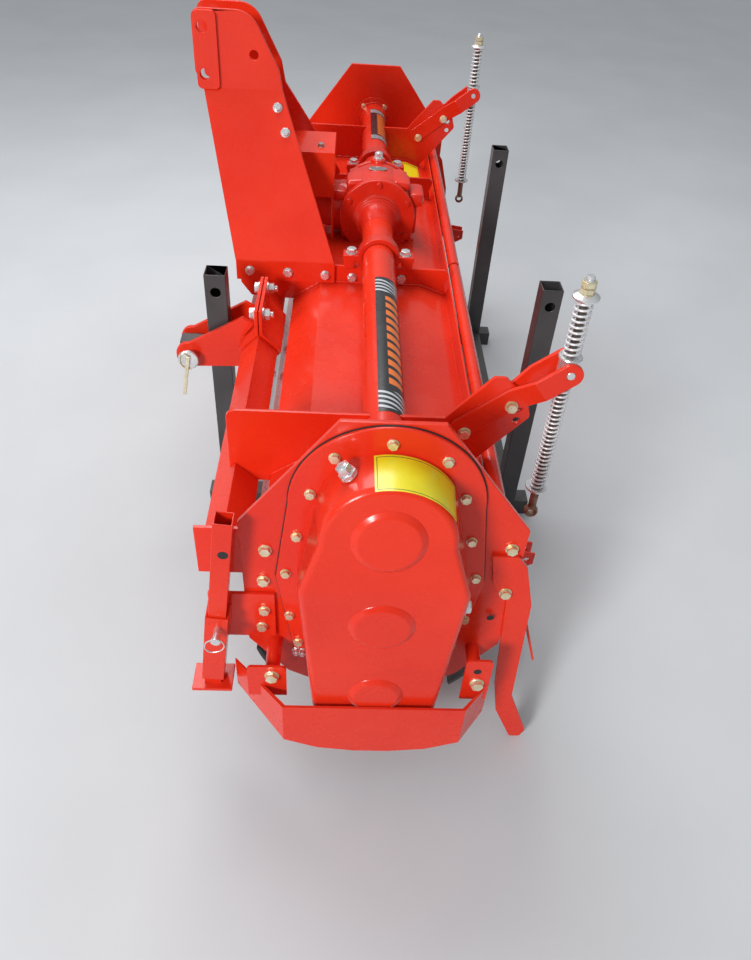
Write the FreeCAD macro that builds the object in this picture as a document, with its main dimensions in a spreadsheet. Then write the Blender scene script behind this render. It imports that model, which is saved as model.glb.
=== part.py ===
import FreeCAD, Part
import Sketcher
import math
import os
import re

# Tractor-mounted rotary tiller standing on its transport stand. Millimetres.
# X runs along the rotor to the right-hand side, Y forwards to the tractor, Z up, floor at zero.
# Heights are taken from the floor and Y from the plane of the axle tube. At the end every piece
# is moved by origin_x and origin_y, so that the origin is under the middle of the whole machine.

doc = FreeCAD.newDocument("Rotavator")

# alias, value, what it is
SIZES = [
    ("origin_x", 0, "move of every piece that centres the machine"),
    ("origin_y", 0, "move of every piece that centres the machine"),
    ("running_gap", 0.05, "radial clearance of a turning shaft"),
    ("weld_gap", 0.3, "clearance round a tube that passes a plate"),
    ("width_inside", 1968, "between the side plates"),
    ("tube_high", 700, "axle tube axis above the floor"),
    ("tube_dia", 80, "axle tube"),
    ("tube_wall", 6, "axle tube"),
    ("rotor_high", 310, "rotor axis above the floor"),
    ("head_x", 210, "gearbox and mast middle, right of the machine's middle"),
    ("plate_thick", 10, "side plates"),
    ("plate_rise", 167, "top of a side plate over the tube axis"),
    ("plate_top_half", 82, "half the side plate's top edge"),
    ("plate_margin", 62, "side plate beyond the gear case's flange"),
    ("shoulder_drop", 55, "corner of a side plate under the tube axis"),
    ("plate_low_half", 245, "half width where the side plate starts to narrow"),
    ("plate_low_high", 330, "height of that corner"),
    ("plate_chin_half", 170, "half width at the side plate's lowest corners"),
    ("plate_chin_high", 225, "height of those corners"),
    ("plate_foot_half", 110, "half the side plate's bottom edge"),
    ("plate_foot_high", 190, "side plate's bottom edge"),
    ("stop_wide", 24, "board stops, along the rotor"),
    ("stop_hold", 20, "board stops in from the side plate's edge"),
    ("stop_tall", 26, "board stops"),
    ("stop_high", 424, "underside of the board stops"),
    ("hood_thick", 5, "hood sheet"),
    ("hood_top", 627, "flat top of the hood"),
    ("flat_front", 142, "front end of the hood's flat top"),
    ("flat_rear", 110, "rear end of the hood's flat top"),
    ("break_front", 213, "front fold of the hood"),
    ("break_high", 579, "height of the front fold"),
    ("skirt_front", 246, "hood's front edge"),
    ("skirt_high", 430, "hood's front edge above the floor"),
    ("hood_rear", 178, "hood's rear fold"),
    ("rear_high", 603, "height of the rear fold"),
    ("lip_high", 640, "top of the lip in front of the hinge"),
    ("lip_back", 6, "lean of the lip"),
    ("beam_size", 60, "square front beam, set on its edge"),
    ("beam_wall", 5, "front beam"),
    ("beam_front", 278, "beam axis in front of the tube"),
    ("beam_high", 564, "beam axis above the floor"),
    ("cap_wide", 98, "cap plate on each end of the beam"),
    ("cap_tall", 112, "cap plate"),
    ("cap_front", 328, "front edge of the cap plates"),
    ("cap_thick", 8, "cap plate"),
    ("support_thick", 8, "upright support plates"),
    ("outer_gap", 29, "outer supports outside the hitch brackets"),
    ("outer_front", 290, "front edge of the outer supports"),
    ("outer_top", 730, "top edge of the outer supports"),
    ("outer_rear", 156, "rear end of the outer supports' seat on the hood"),
    ("outer_waist", 108, "start of the outer supports' rear horn"),
    ("horn_rear", 263, "rear edge of the horn that carries the levers"),
    ("horn_low", 740, "lower corner of the horn's rear edge"),
    ("horn_top", 822, "top of the horn"),
    ("horn_chamfer", 22, "cut corner of the horn"),
    ("horn_hole_dia", 14, "spare holes of the horn"),
    ("horn_hole_in", 24, "spare holes in from the horn's rear edge"),
    ("horn_hole_apart", 27, "between the spare holes"),
    ("centre_support_reach", 305, "centre support plates either side of the gearbox"),
    ("centre_front", 345, "front edge of the centre supports"),
    ("centre_top", 672, "top edge of the centre supports"),
    ("centre_chin_high", 615, "lower front corner of the centre supports"),
    ("centre_rear", 187, "rear edge of the centre supports"),
    ("centre_chin", 25, "cut corner under the centre supports' front edge"),
    ("centre_heel", 30, "cut corner at the centre supports' rear edge"),
    ("seat_rise", 16, "start of the centre supports' seat on the beam's front face"),
    ("seat_fall", 11, "end of that seat on the beam's rear face"),
    ("clamp_long", 34, "tube clamps along the tube"),
    ("clamp_ring", 12, "wall of a tube clamp"),
    ("clamp_half", 88, "half the width of a clamp's ears"),
    ("clamp_ear", 14, "thickness of a clamp's ears"),
    ("clamp_foot", 26, "feet under a clamp's ears"),
    ("case_flange_thick", 8, "gear case flange"),
    ("flange_arch", 164, "radius of the flange over the tube axis"),
    ("flange_wide_half", 188, "half the flange's width"),
    ("flange_wide_high", 520, "height where the flange is widest"),
    ("flange_low_half", 150, "half width near the flange's bottom"),
    ("flange_low_high", 262, "height of that corner"),
    ("flange_foot_half", 108, "half the flange's bottom edge"),
    ("flange_foot_high", 234, "flange's bottom edge"),
    ("cover_deep", 108, "gear cover out of its flange"),
    ("cover_round", 16, "depth of the cover's rounded rim"),
    ("cover_arch", 118, "radius of the cover's arch at the flange"),
    ("cover_wide_half", 150, "half the cover's width at the flange"),
    ("cover_wide_high", 535, "height where the cover is widest at the flange"),
    ("cover_foot_half", 122, "half the cover's bottom edge at the flange"),
    ("cover_foot_high", 256, "cover's bottom edge at the flange"),
    ("face_arch", 112, "radius of the arch at the cover's rim"),
    ("face_wide_half", 142, "half the cover's width at the rim"),
    ("face_wide_high", 604, "height of the face's shoulders"),
    ("face_foot_half", 116, "half the face's bottom edge at the rim"),
    ("face_foot_high", 262, "face's bottom edge"),
    ("face_inset", 12, "face inside the rim"),
    ("face_lean", 8, "degrees that the upper face leans back"),
    ("cover_wall", 6, "gear cover"),
    ("cover_crown", 45, "hollow of the cover behind its rim"),
    ("guard_reach", 130, "case guard out of the side plate"),
    ("guard_half", 172, "half the case guard's front"),
    ("guard_top", 294, "top edge of the case guard"),
    ("guard_side_high", 182, "lower corners of the case guard"),
    ("guard_low", 144, "lowest point of the case guard"),
    ("guard_thick", 5, "case guard"),
    ("wing_top", 300, "top of the guard's wings at their ends"),
    ("wing_front", 98, "front wing beyond the guard's front"),
    ("wing_front_back", 100, "front wing's reach back"),
    ("wing_front_low", 222, "lower corner of the front wing's end"),
    ("wing_rear", 50, "rear wing beyond the guard's front"),
    ("wing_rear_back", 56, "rear wing's reach back"),
    ("wing_rear_low", 205, "lower corner of the rear wing's end"),
    ("lug_bolt", 194, "guard bolts from the tube's plane"),
    ("lug_hold", 30, "lugs under the guard's top edge"),
    ("lug_front_out", 240, "outer edge of the front lug"),
    ("lug_front_top", 354, "top of the front lug"),
    ("lug_front_high", 329, "bolt of the front lug"),
    ("lug_rear_out", 218, "outer edge of the rear lug"),
    ("lug_rear_top", 386, "top of the rear lug"),
    ("lug_rear_high", 318, "bolt of the rear lug"),
    ("lug_back", 46, "guard lugs behind the guard's front"),
    ("spacer_dia", 28, "round spacers behind the lugs"),
    ("spacer_bore", 13, "bore of those spacers"),
    ("runner_thick", 8, "runner bar"),
    ("runner_top", 588, "top of the runner bars"),
    ("runner_knee", 160, "bend of the runner bars"),
    ("runner_tip", 352, "tip of the runner bars behind the tube"),
    ("runner_low", 3, "runner bars above the floor"),
    ("sleeve_size", 42, "parking leg's sleeve"),
    ("sleeve_wall", 4, "parking leg's sleeve"),
    ("leg_gap", 0.5, "between leg and sleeve"),
    ("leg_wall", 3, "parking leg"),
    ("leg_lean", 6.5, "degrees that a parking leg leans"),
    ("leg_long", 444, "parking leg"),
    ("leg_front", 303, "parking leg's axis at the sleeve's middle"),
    ("sleeve_mid_high", 355, "sleeve's middle above the floor"),
    ("sleeve_long", 188, "sleeve"),
    ("leg_out", 113, "leg under the sleeve's middle"),
    ("web_back", 112, "leg's web behind its axis"),
    ("web_over", 10, "leg's web in front of its axis"),
    ("web_drop", 7, "leg's web under the sleeve's middle"),
    ("web_rise", 115, "leg's web over the sleeve's middle"),
    ("shoe_wide", 60, "parking leg's shoe"),
    ("shoe_long", 78, "parking leg's shoe"),
    ("shoe_thick", 8, "parking leg's shoe"),
    ("mast_thick", 10, "mast plates"),
    ("mast_gap", 80, "between the mast plates at the top"),
    ("mast_fold", 678, "lower fold of the mast plates"),
    ("mast_bend_over", 129, "upper fold of the mast plates over the shaft's shield"),
    ("mast_over", 175, "mast's top over its upper fold"),
    ("mast_front", 462, "front edge of the mast's top"),
    ("mast_rear", 108, "rear edge of the mast's foot"),
    ("mast_hem", 50, "upright hem under the lower fold"),
    ("mast_hem_front", 354, "front edge of the hem"),
    ("mast_step", 18, "upper fold behind the mast's front edge"),
    ("mast_nose", 40, "rise from the upper fold to the front edge"),
    ("mast_waist", 250, "rear edge of the mast at the upper fold"),
    ("mast_crown_rear", 323, "rear corner of the mast's top"),
    ("mast_hole_front", 318, "plain hole in front of the tube"),
    ("mast_hole_over", 81, "plain hole over the upper fold"),
    ("web_gap", 12, "mast's web over the shield"),
    ("web_lip", 32, "upper edge of the mast's web under the upper fold"),
    ("web_thick", 8, "mast's web"),
    ("web_front", 300, "mast's web in front of the tube"),
    ("pad_thick", 8, "pads round the top link holes"),
    ("pad_wide", 54, "those pads"),
    ("pad_over", 34, "pads beyond the holes"),
    ("link_hole_dia", 26, "top link holes"),
    ("link_front", 437, "top link holes in front of the tube"),
    ("link_drop", 37, "upper top link hole under the mast's top"),
    ("link_over", 35, "lower top link hole over the upper fold"),
    ("mast_hole_dia", 22, "plain hole behind the top link holes"),
    ("gear_radius", 103, "gearbox's round body"),
    ("gear_long", 150, "gearbox along the tube"),
    ("gear_base", 628, "underside of the gearbox"),
    ("gear_foot_tall", 36, "gearbox's foot"),
    ("gear_foot_inset", 12, "foot inside the gearbox's ends"),
    ("gear_rim_wide", 12, "raised bands round the gearbox"),
    ("gear_rim_over", 7, "rise of those bands"),
    ("gear_rim_inset", 16, "bands inside the gearbox's ends"),
    ("filler_boss_dia", 48, "boss on the gearbox's top"),
    ("filler_boss_over", 8, "rise of that boss"),
    ("snout_dia", 104, "gearbox's input snout"),
    ("snout_front", 188, "front end of the snout"),
    ("snout_base_front", 118, "front end of the snout's thick root"),
    ("snout_base_wall", 16, "that root beyond the snout"),
    ("shaft_dia", 34.92, "input shaft"),
    ("shaft_front", 270, "front end of the input shaft"),
    ("shaft_hold", 60, "input shaft inside the snout"),
    ("shaft_seat_dia", 44, "input shaft's bearing seat"),
    ("shaft_collar", 3, "bearing seat that shows in front of the snout"),
    ("neck_dia", 118, "wide end of the bell necks"),
    ("neck_long", 92, "bell necks"),
    ("neck_over", 6, "narrow end of the necks beyond the tube"),
    ("end_flange_dia", 132, "round flange on the axle tube's right end"),
    ("end_flange_thick", 8, "that flange"),
    ("flare_long", 40, "flare behind that flange"),
    ("flare_rise", 9, "rise of the flare"),
    ("shield_wide", 160, "input shaft's shield"),
    ("shield_thick", 4, "input shaft's shield"),
    ("shield_over", 168, "top of the shield over the tube axis"),
    ("shield_side_over", 52, "lower edge of the shield's sides over the tube axis"),
    ("shield_front", 330, "front edge of the shield"),
    ("shield_back_thick", 6, "shield's back plate"),
    ("shield_chin", 12, "back plate under the snout"),
    ("hitch_gap", 68, "hitch brackets outside the centre supports"),
    ("bracket_long", 170, "hitch bracket along the beam"),
    ("bracket_thick", 8, "hitch bracket's bent plates"),
    ("bracket_tab", 62, "tabs of the bracket above and below the beam"),
    ("arm_thick", 12, "arms of the hitch brackets"),
    ("arm_gap", 64, "between the arms of a hitch bracket"),
    ("arm_root", 46, "arm's root over and under the beam's axis"),
    ("arm_shoulder", 62, "arm's top edge over the beam's axis"),
    ("arm_heel", 72, "arm's lower edge under the beam's axis"),
    ("eye_front", 453, "lower hitch pin in front of the tube"),
    ("eye_high", 518, "lower hitch pin above the floor"),
    ("eye_radius", 32, "round end of a hitch arm"),
    ("pin_dia", 28, "lower hitch pin"),
    ("pin_disc_dia", 50, "disc on the outer end of a hitch pin"),
    ("pin_disc_thick", 6, "that disc"),
    ("pin_over", 24, "hitch pin beyond its arms on the outer side"),
    ("pin_head_dia", 40, "head of a hitch pin"),
    ("pin_head_thick", 9, "head of a hitch pin"),
    ("post_size", 50, "posts of the transport stand"),
    ("post_wall", 3, "posts of the transport stand"),
    ("post_top", 723, "top of the posts"),
    ("post_front", 381, "front posts in front of the tube"),
    ("post_rear", 406, "rear posts behind the tube"),
    ("post_hole_dia", 24, "hole near each post's top"),
    ("post_hole_drop", 44, "that hole under the post's top"),
    ("tongue_wide", 40, "tongues between the hitch arms"),
    ("tongue_tall", 44, "those tongues"),
    ("tongue_over", 26, "tongues beyond the hitch pins"),
    ("foot_bar_over", 40, "foot bars beyond the posts"),
    ("hinge_rear", 206, "board hinge behind the tube"),
    ("hinge_high", 632, "board hinge above the floor"),
    ("hinge_dia", 16, "hinge rod"),
    ("knuckle_dia", 28, "rolled top edge of the board"),
    ("board_thick", 5, "trailing board"),
    ("board_side_gap", 9, "board's ends inside the side plates"),
    ("board_notch", 12, "gap in the middle of the board's rolled edge"),
    ("board_low", 250, "board's lower edge"),
    ("board_rear", 330, "board's lower edge behind the tube"),
    ("board_bend_back", 34, "board's upper fold behind the hinge"),
    ("board_bend_drop", 72, "board's upper fold under the hinge"),
    ("board_kick", 45, "board's lower fold in front of its edge"),
    ("board_kick_high", 150, "board's lower fold over its edge"),
    ("board_lug_thick", 6, "lugs on the board"),
    ("board_lug_apart", 32, "middles of the two lugs"),
    ("board_lug_out", 8, "lugs beyond the board's edge"),
    ("board_lug_hole", 12, "hole of the lugs"),
    ("stop_gap", 0.3, "between the board and its stops"),
    ("rod_rear", 310, "spring rods behind the tube"),
    ("rod_dia", 16, "spring rods"),
    ("rod_top", 1022, "top of the spring rods"),
    ("rod_eye_high", 503, "eye at the rod's bottom"),
    ("rod_eye_dia", 28, "that eye"),
    ("rod_eye_hole", 14, "bore of that eye"),
    ("rod_eye_thick", 18, "that eye"),
    ("rod_nut_dia", 24, "nuts on the spring rods"),
    ("rod_nut_tall", 20, "nuts on the spring rods"),
    ("trunnion_high", 848, "trunnion above the floor"),
    ("trunnion_half", 15, "half the trunnion block"),
    ("trunnion_pin", 16, "pins of the trunnion"),
    ("lever_thick", 8, "spring levers"),
    ("lever_wide", 44, "spring levers"),
    ("lever_gap", 44, "between the levers at the trunnion"),
    ("lever_bolt_rear", 140, "front lever bolts behind the tube"),
    ("lever_bolt_high", 714, "front lever bolts above the floor"),
    ("coil_dia", 32, "outside of the springs"),
    ("coil_wire", 4, "spring wire"),
    ("coil_drop", 37, "upper spring's top under the rod's top"),
    ("coil_rise", 63, "lower spring's foot over the rod's eye"),
    ("washer_dia", 46, "spring washers"),
    ("washer_thick", 4, "spring washers"),
    ("block_washer_dia", 38, "washers on the trunnion block"),
    ("rotor_dia", 89, "rotor tube"),
    ("rotor_side_gap", 14, "rotor tube's ends inside the side plates"),
    ("stub_dia", 50, "stub shafts of the rotor"),
    ("stub_short", 0.5, "stub shafts' ends inside the side plates' outer faces"),
    ("rotor_disc_dia", 230, "discs that carry the tines"),
    ("rotor_disc_thick", 10, "discs that carry the tines"),
    ("disc_count", 9, "discs along the rotor"),
    ("tine_reach", 245, "tip of a tine from the rotor's axis"),
    ("tine_thick", 8, "tines"),
    ("tine_wide", 60, "tine's shank"),
    ("tine_foot", 62, "tine's bent foot along the rotor"),
    ("tine_bend", 20, "inner radius of a tine's bend"),
    ("tine_sweep", 44, "tip of a tine swept back"),
    ("tine_hold", 62, "tine's shank inside its disc's edge"),
    ("disc_twist", 22, "degrees from one disc to the next"),
    ("bearing_dia", 150, "flange of the right rotor bearing"),
    ("bearing_boss_dia", 96, "boss of that bearing"),
    ("bearing_out", 46, "bearing out of the side plate"),
    ("bearing_flange_thick", 14, "bearing's flange"),
    ("bearing_draft", 8, "taper of the bearing's boss"),
]
WORDS = {row[0] for row in SIZES}

sheet = doc.addObject("Spreadsheet::Sheet", "Sizes")
for line, (alias, value, note) in enumerate(SIZES, 1):
    sheet.set("A%d" % line, alias)
    sheet.set("B%d" % line, str(value))
    sheet.setAlias("B%d" % line, alias)
    sheet.set("C%d" % line, note)
doc.recompute()

SUBPARTS = []
PLACES = {}
PLANES = {
    "XY": FreeCAD.Rotation(),
    "XZ": FreeCAD.Rotation(FreeCAD.Vector(1, 0, 0), 90),
    "YZ": FreeCAD.Rotation(FreeCAD.Vector(1, 1, 1), 120),
}
ALONG = {
    "X": FreeCAD.Rotation(FreeCAD.Vector(0, 1, 0), 90),
    "Y": FreeCAD.Rotation(FreeCAD.Vector(1, 0, 0), -90),
    "Z": FreeCAD.Rotation(),
}
NORMALS = {"XY": (0, 0, 1), "XZ": (0, -1, 0), "YZ": (1, 0, 0)}


def cell(text):
    """An expression with each size's name pointing at its cell in the sheet."""
    return re.sub(r"[a-z_]+", lambda word: "Sizes." + word[0] if word[0] in WORDS else word[0], text)


def number(text):
    return float(sheet.evalExpression(text))


def place(thing, at, turn=FreeCAD.Rotation()):
    """Puts a thing at a point given by three expressions."""
    thing.Placement = FreeCAD.Placement(FreeCAD.Vector(*[number(part) for part in at]), turn)
    for axis, part in zip("xyz", at):
        thing.setExpression(".Placement.Base." + axis, cell(part))
    PLACES[thing.Name] = at


def subpart(thing, label, moved=True):
    """Names a finished piece and hangs it on the machine's origin."""
    at = PLACES.get(thing.Name, ("0", "0", "0"))
    if moved:
        for axis, part, move in zip("xyz", at, ("origin_x", "origin_y", "0")):
            thing.setExpression(".Placement.Base." + axis, cell("(%s) + %s" % (part, move)))
    thing.Label = label
    SUBPARTS.append(thing)
    return thing


def draw(sketch, corners, rings=(), closed=True):
    """Straight edges through the corners, and round holes, all held by the sheet."""
    points = [FreeCAD.Vector(number(u), number(v), 0) for u, v in corners]
    spans = list(zip(points, points[1:] + points[:1])) if closed else list(zip(points, points[1:]))
    for start, end in spans:
        sketch.addGeometry(Part.LineSegment(start, end))
    last = len(spans) - 1
    for index in range(last):
        sketch.addConstraint(Sketcher.Constraint("Coincident", index, 2, index + 1, 1))
    if closed:
        sketch.addConstraint(Sketcher.Constraint("Coincident", last, 2, 0, 1))
    for index, (u, v) in enumerate(corners):
        edge, end = (index, 1) if index <= last else (last, 2)
        hold(sketch, "DistanceX", u, edge, end)
        hold(sketch, "DistanceY", v, edge, end)
    for u, v, radius in rings:
        middle = FreeCAD.Vector(number(u), number(v), 0)
        ring = sketch.addGeometry(Part.Circle(middle, FreeCAD.Vector(0, 0, 1), number(radius)))
        hold(sketch, "DistanceX", u, ring, 3)
        hold(sketch, "DistanceY", v, ring, 3)
        index = sketch.addConstraint(Sketcher.Constraint("Radius", ring, number(radius)))
        sketch.setExpression("Constraints[%d]" % index, cell(radius))


def hold(sketch, kind, text, edge, end):
    index = sketch.addConstraint(Sketcher.Constraint(kind, -1, 1, edge, end, number(text)))
    sketch.setExpression("Constraints[%d]" % index, cell(text))


def plate(name, plane, corners, thick, at, holes=(), rounds=()):
    """A flat plate: an outline with holes, padded, with some of its corners rounded."""
    body = doc.addObject("PartDesign::Body", name)
    sketch = body.newObject("Sketcher::SketchObject", name + "_outline")
    support = [item for item in body.Origin.OriginFeatures if item.Role == plane + "_Plane"][0]
    sketch.AttachmentSupport = [(support, "")]
    sketch.MapMode = "FlatFace"
    draw(sketch, corners, holes)
    pad = body.newObject("PartDesign::Pad", name + "_pad")
    pad.Profile = sketch
    pad.setExpression("Length", cell(thick))
    if rounds:
        doc.recompute()
        base = pad
        for radius, picks in rounds:
            wanted = [(number(corners[i][0]), number(corners[i][1])) for i in picks]
            fillet = body.newObject("PartDesign::Fillet", name + "_round")
            fillet.Base = (base, upright_edges(base.Shape, plane, wanted))
            fillet.setExpression("Radius", cell(radius))
            doc.recompute()
            base = fillet
    place(body, at)
    return body


def upright_edges(shape, plane, wanted):
    """The names of the edges that stand on the wanted corners of a plate."""
    pick = {"XY": (0, 1), "XZ": (0, 2), "YZ": (1, 2)}[plane]
    names = []
    for index, edge in enumerate(shape.Edges, 1):
        ends = [(v.Point[pick[0]], v.Point[pick[1]]) for v in edge.Vertexes]
        for corner in wanted:
            if len(ends) == 2 and all(math.dist(end, corner) < 0.01 for end in ends):
                names.append("Edge%d" % index)
    return names


def bent_sheet(name, plane, path, thick, long, at):
    """A sheet folded along a path, its thickness to the right of the path (left if negative)."""
    sketch = doc.addObject("Sketcher::SketchObject", name + "_path")
    draw(sketch, path, closed=False)
    place(sketch, at, PLANES[plane])
    strip = doc.addObject("Part::Offset2D", name + "_strip")
    strip.Source = sketch
    strip.Fill = True
    strip.Mode = "Skin"
    strip.Join = "Arc"
    strip.setExpression("Value", cell(thick))
    doc.recompute()
    if not on_right(strip.Shape, plane, path, at, number(thick)):
        strip.setExpression("Value", cell("-(%s)" % thick))
    return stretch(name, strip, NORMALS[plane], long)


def on_right(strip, plane, path, at, thick):
    """Whether a folded strip lies to the right of its path, or to the left if thick is negative."""
    (u, v), (end_u, end_v) = [(number(a), number(b)) for a, b in path[:2]]
    way = FreeCAD.Vector(end_u - u, end_v - v, 0).normalize()
    right = FreeCAD.Vector(way.y, -way.x, 0)
    middle = FreeCAD.Vector((u + end_u) / 2, (v + end_v) / 2, 0) + right * (thick / 2)
    spot = PLANES[plane].multVec(middle) + FreeCAD.Vector(*[number(part) for part in at])
    return strip.distToShape(Part.Vertex(spot))[0] < 0.01


def stretch(name, flat, way, long):
    thing = doc.addObject("Part::Extrusion", name)
    thing.Base = flat
    thing.DirMode = "Custom"
    thing.Dir = FreeCAD.Vector(*way)
    thing.Solid = True
    thing.setExpression("LengthFwd", cell(long))
    return thing


def block(name, size, at, turn=FreeCAD.Rotation()):
    thing = doc.addObject("Part::Box", name)
    for side, text in zip(("Length", "Width", "Height"), size):
        thing.setExpression(side, cell(text))
    place(thing, at, turn)
    return thing


def rod(name, radius, long, at, axis="X"):
    thing = doc.addObject("Part::Cylinder", name)
    thing.setExpression("Radius", cell(radius))
    thing.setExpression("Height", cell(long))
    place(thing, at, ALONG[axis])
    return thing


def cone(name, radius, end_radius, long, at, axis="X"):
    thing = doc.addObject("Part::Cone", name)
    thing.setExpression("Radius1", cell(radius))
    thing.setExpression("Radius2", cell(end_radius))
    thing.setExpression("Height", cell(long))
    place(thing, at, ALONG[axis])
    return thing


def cut(name, base, tool):
    thing = doc.addObject("Part::Cut", name)
    thing.Base = base
    thing.Tool = tool
    return thing


def join(name, pieces):
    thing = doc.addObject("Part::MultiFuse", name)
    thing.Shapes = pieces
    return thing


def common(name, pieces):
    thing = doc.addObject("Part::MultiCommon", name)
    thing.Shapes = pieces
    return thing


def group(name, pieces):
    """Several solids that are one piece's copies, kept apart."""
    thing = doc.addObject("Part::Compound", name)
    thing.Links = pieces
    return thing


def mirrored(name, source, middle):
    """The same sub-part on the other side of an upright plane across X."""
    thing = doc.addObject("Part::Mirroring", name)
    thing.Source = source
    thing.Normal = FreeCAD.Vector(1, 0, 0)
    thing.setExpression("Base.x", cell(middle + " + origin_x"))
    return thing


def pipe(name, radius, bore, long, at, axis="X"):
    return cut(name, rod(name + "_outside", radius, long, at, axis),
               rod(name + "_bore", bore, long, at, axis))


def square_tube(name, size, wall, long, at, turn=FreeCAD.Rotation()):
    """A square tube along the local Z, centred on the point."""
    shift = turn.multVec(FreeCAD.Vector(1, 1, 0))
    outer = ["(%s) - %.9f * (%s) / 2" % (part, step, size) for part, step in zip(at, shift)]
    inner = ["(%s) - %.9f * ((%s) / 2 - (%s))" % (part, step, size, wall) for part, step in zip(at, shift)]
    skin = block(name + "_outside", (size, size, long), outer, turn)
    core = block(name + "_inside", ("(%s) - 2 * (%s)" % (size, wall),) * 2 + (long,), inner, turn)
    return cut(name, skin, core)


# name, side of the machine that it is on: the left side has the gear case
SIDES = [("left", -1), ("right", 1)]
TINES = 6

# half the side plate's width
PLATE_HALF = "(flange_wide_half + plate_margin)"

# middles of the hitch brackets from the mast, and of the outer supports from the machine's middle
HITCH_REACH = "(centre_support_reach + support_thick / 2 + hitch_gap + bracket_long / 2)"
OUTER_REACH = "(head_x + %s + bracket_long / 2 + outer_gap + support_thick / 2)" % HITCH_REACH

# heights of the shield and the mast above the floor
SHIELD_TOP = "(tube_high + shield_over)"
SHIELD_LOW = "(tube_high + shield_side_over)"
MAST_BEND = "(%s + mast_bend_over)" % SHIELD_TOP
MAST_TOP = "(%s + mast_over)" % MAST_BEND
LINK_HIGH = "(%s - link_drop)" % MAST_TOP
LINK_LOW = "(%s + link_over)" % MAST_BEND
MAST_HOLE_HIGH = "(%s + mast_hole_over)" % MAST_BEND
WEB_LOW = "(%s + web_gap)" % SHIELD_TOP
WEB_TOP = "(%s - web_lip)" % MAST_BEND


def outer_face(side, thick):
    """Start of a plate of this thickness that lies on the outside of a side plate."""
    edge = "width_inside / 2 + plate_thick"
    return edge if side > 0 else "-(%s + %s)" % (edge, thick)


def inner_face(side, thick):
    return "width_inside / 2 - %s" % thick if side > 0 else "-width_inside / 2"


def centred(middle, thick):
    return "%s - %s / 2" % (middle, thick)


def plate_edge(high):
    """Y of a side plate's rear edge at a height between its widest corner and the one under it."""
    rise = "(%s - plate_low_high) / (tube_high - shoulder_drop - plate_low_high)" % high
    return "(-plate_low_half - (%s - plate_low_half) * %s)" % (PLATE_HALF, rise)


def side_plates():
    corners = [
        ("-plate_top_half", "tube_high + plate_rise"),
        ("plate_top_half", "tube_high + plate_rise"),
        (PLATE_HALF, "tube_high - shoulder_drop"),
        ("plate_low_half", "plate_low_high"),
        ("plate_chin_half", "plate_chin_high"),
        ("plate_foot_half", "plate_foot_high"),
        ("-plate_foot_half", "plate_foot_high"),
        ("-plate_chin_half", "plate_chin_high"),
        ("-plate_low_half", "plate_low_high"),
        ("-" + PLATE_HALF, "tube_high - shoulder_drop"),
    ]
    bore = [("0", "rotor_high", "stub_dia / 2 + running_gap")]
    for name, side in SIDES:
        at = "width_inside / 2" if side > 0 else "-width_inside / 2 - plate_thick"
        face = plate("side_" + name, "YZ", corners, "plate_thick", (at, "0", "0"), bore)
        rear = board_inner("stop_high + stop_tall") + " + stop_gap"
        deep = plate_edge("stop_high") + " + stop_hold - (%s)" % rear
        stop = block("stop_" + name, ("stop_wide", deep, "stop_tall"),
                     (inner_face(side, "stop_wide"), rear, "stop_high"))
        subpart(join("side_plate_" + name + "_whole", [face, stop]), "side_plate_" + name)


# board's inner face: behind the tube, above the floor
BOARD = [
    ("-hinge_rear - knuckle_dia / 2 + 4", "hinge_high - 3"),
    ("-hinge_rear - board_bend_back", "hinge_high - board_bend_drop"),
    ("-board_rear + board_kick", "board_low + board_kick_high"),
    ("-board_rear", "board_low"),
]


def board_inner(high):
    """Y of the board's inner face at a height between its two middle folds."""
    upper, lower = BOARD[1], BOARD[2]
    share = "(%s - (%s)) / (%s - (%s))" % (upper[1], high, upper[1], lower[1])
    return "%s + (%s - (%s)) * %s" % (upper[0], lower[0], upper[0], share)


def hood():
    path = [
        ("skirt_front", "skirt_high"),
        ("break_front", "break_high"),
        ("flat_front", "hood_top"),
        ("-flat_rear", "hood_top"),
        ("-hood_rear", "rear_high"),
        ("-hood_rear - lip_back", "lip_high"),
    ]
    sheet_part = bent_sheet("hood_sheet", "YZ", path, "-hood_thick", "width_inside",
                            ("-width_inside / 2", "0", "0"))
    subpart(sheet_part, "hood")


def front_beam():
    turn = FreeCAD.Rotation(FreeCAD.Vector(0, 1, 0), 90).multiply(
        FreeCAD.Rotation(FreeCAD.Vector(0, 0, 1), 45))
    tube = square_tube("beam_tube", "beam_size", "beam_wall", "width_inside - 2 * cap_thick",
                       ("-width_inside / 2 + cap_thick", "beam_front", "beam_high"), turn)
    caps = []
    for name, side in SIDES:
        at = (inner_face(side, "cap_thick"), "cap_front - cap_wide", "beam_high - cap_tall / 2")
        caps.append(block("beam_cap_" + name, ("cap_thick", "cap_wide", "cap_tall"), at))
    subpart(join("front_beam_whole", [tube] + caps), "front_beam")


def skirt_front_at(high):
    """Y of the hood's front sheet at a height under its front fold."""
    fall = "(break_high - (%s)) / (break_high - skirt_high)" % high
    return "break_front + (skirt_front - break_front) * " + fall


# where the supports sit on the hood: in front of the tube, above the floor
HOOD_SEAT = [
    ("break_front", "break_high"),
    ("flat_front", "hood_top"),
    ("-flat_rear", "hood_top"),
]


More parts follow.
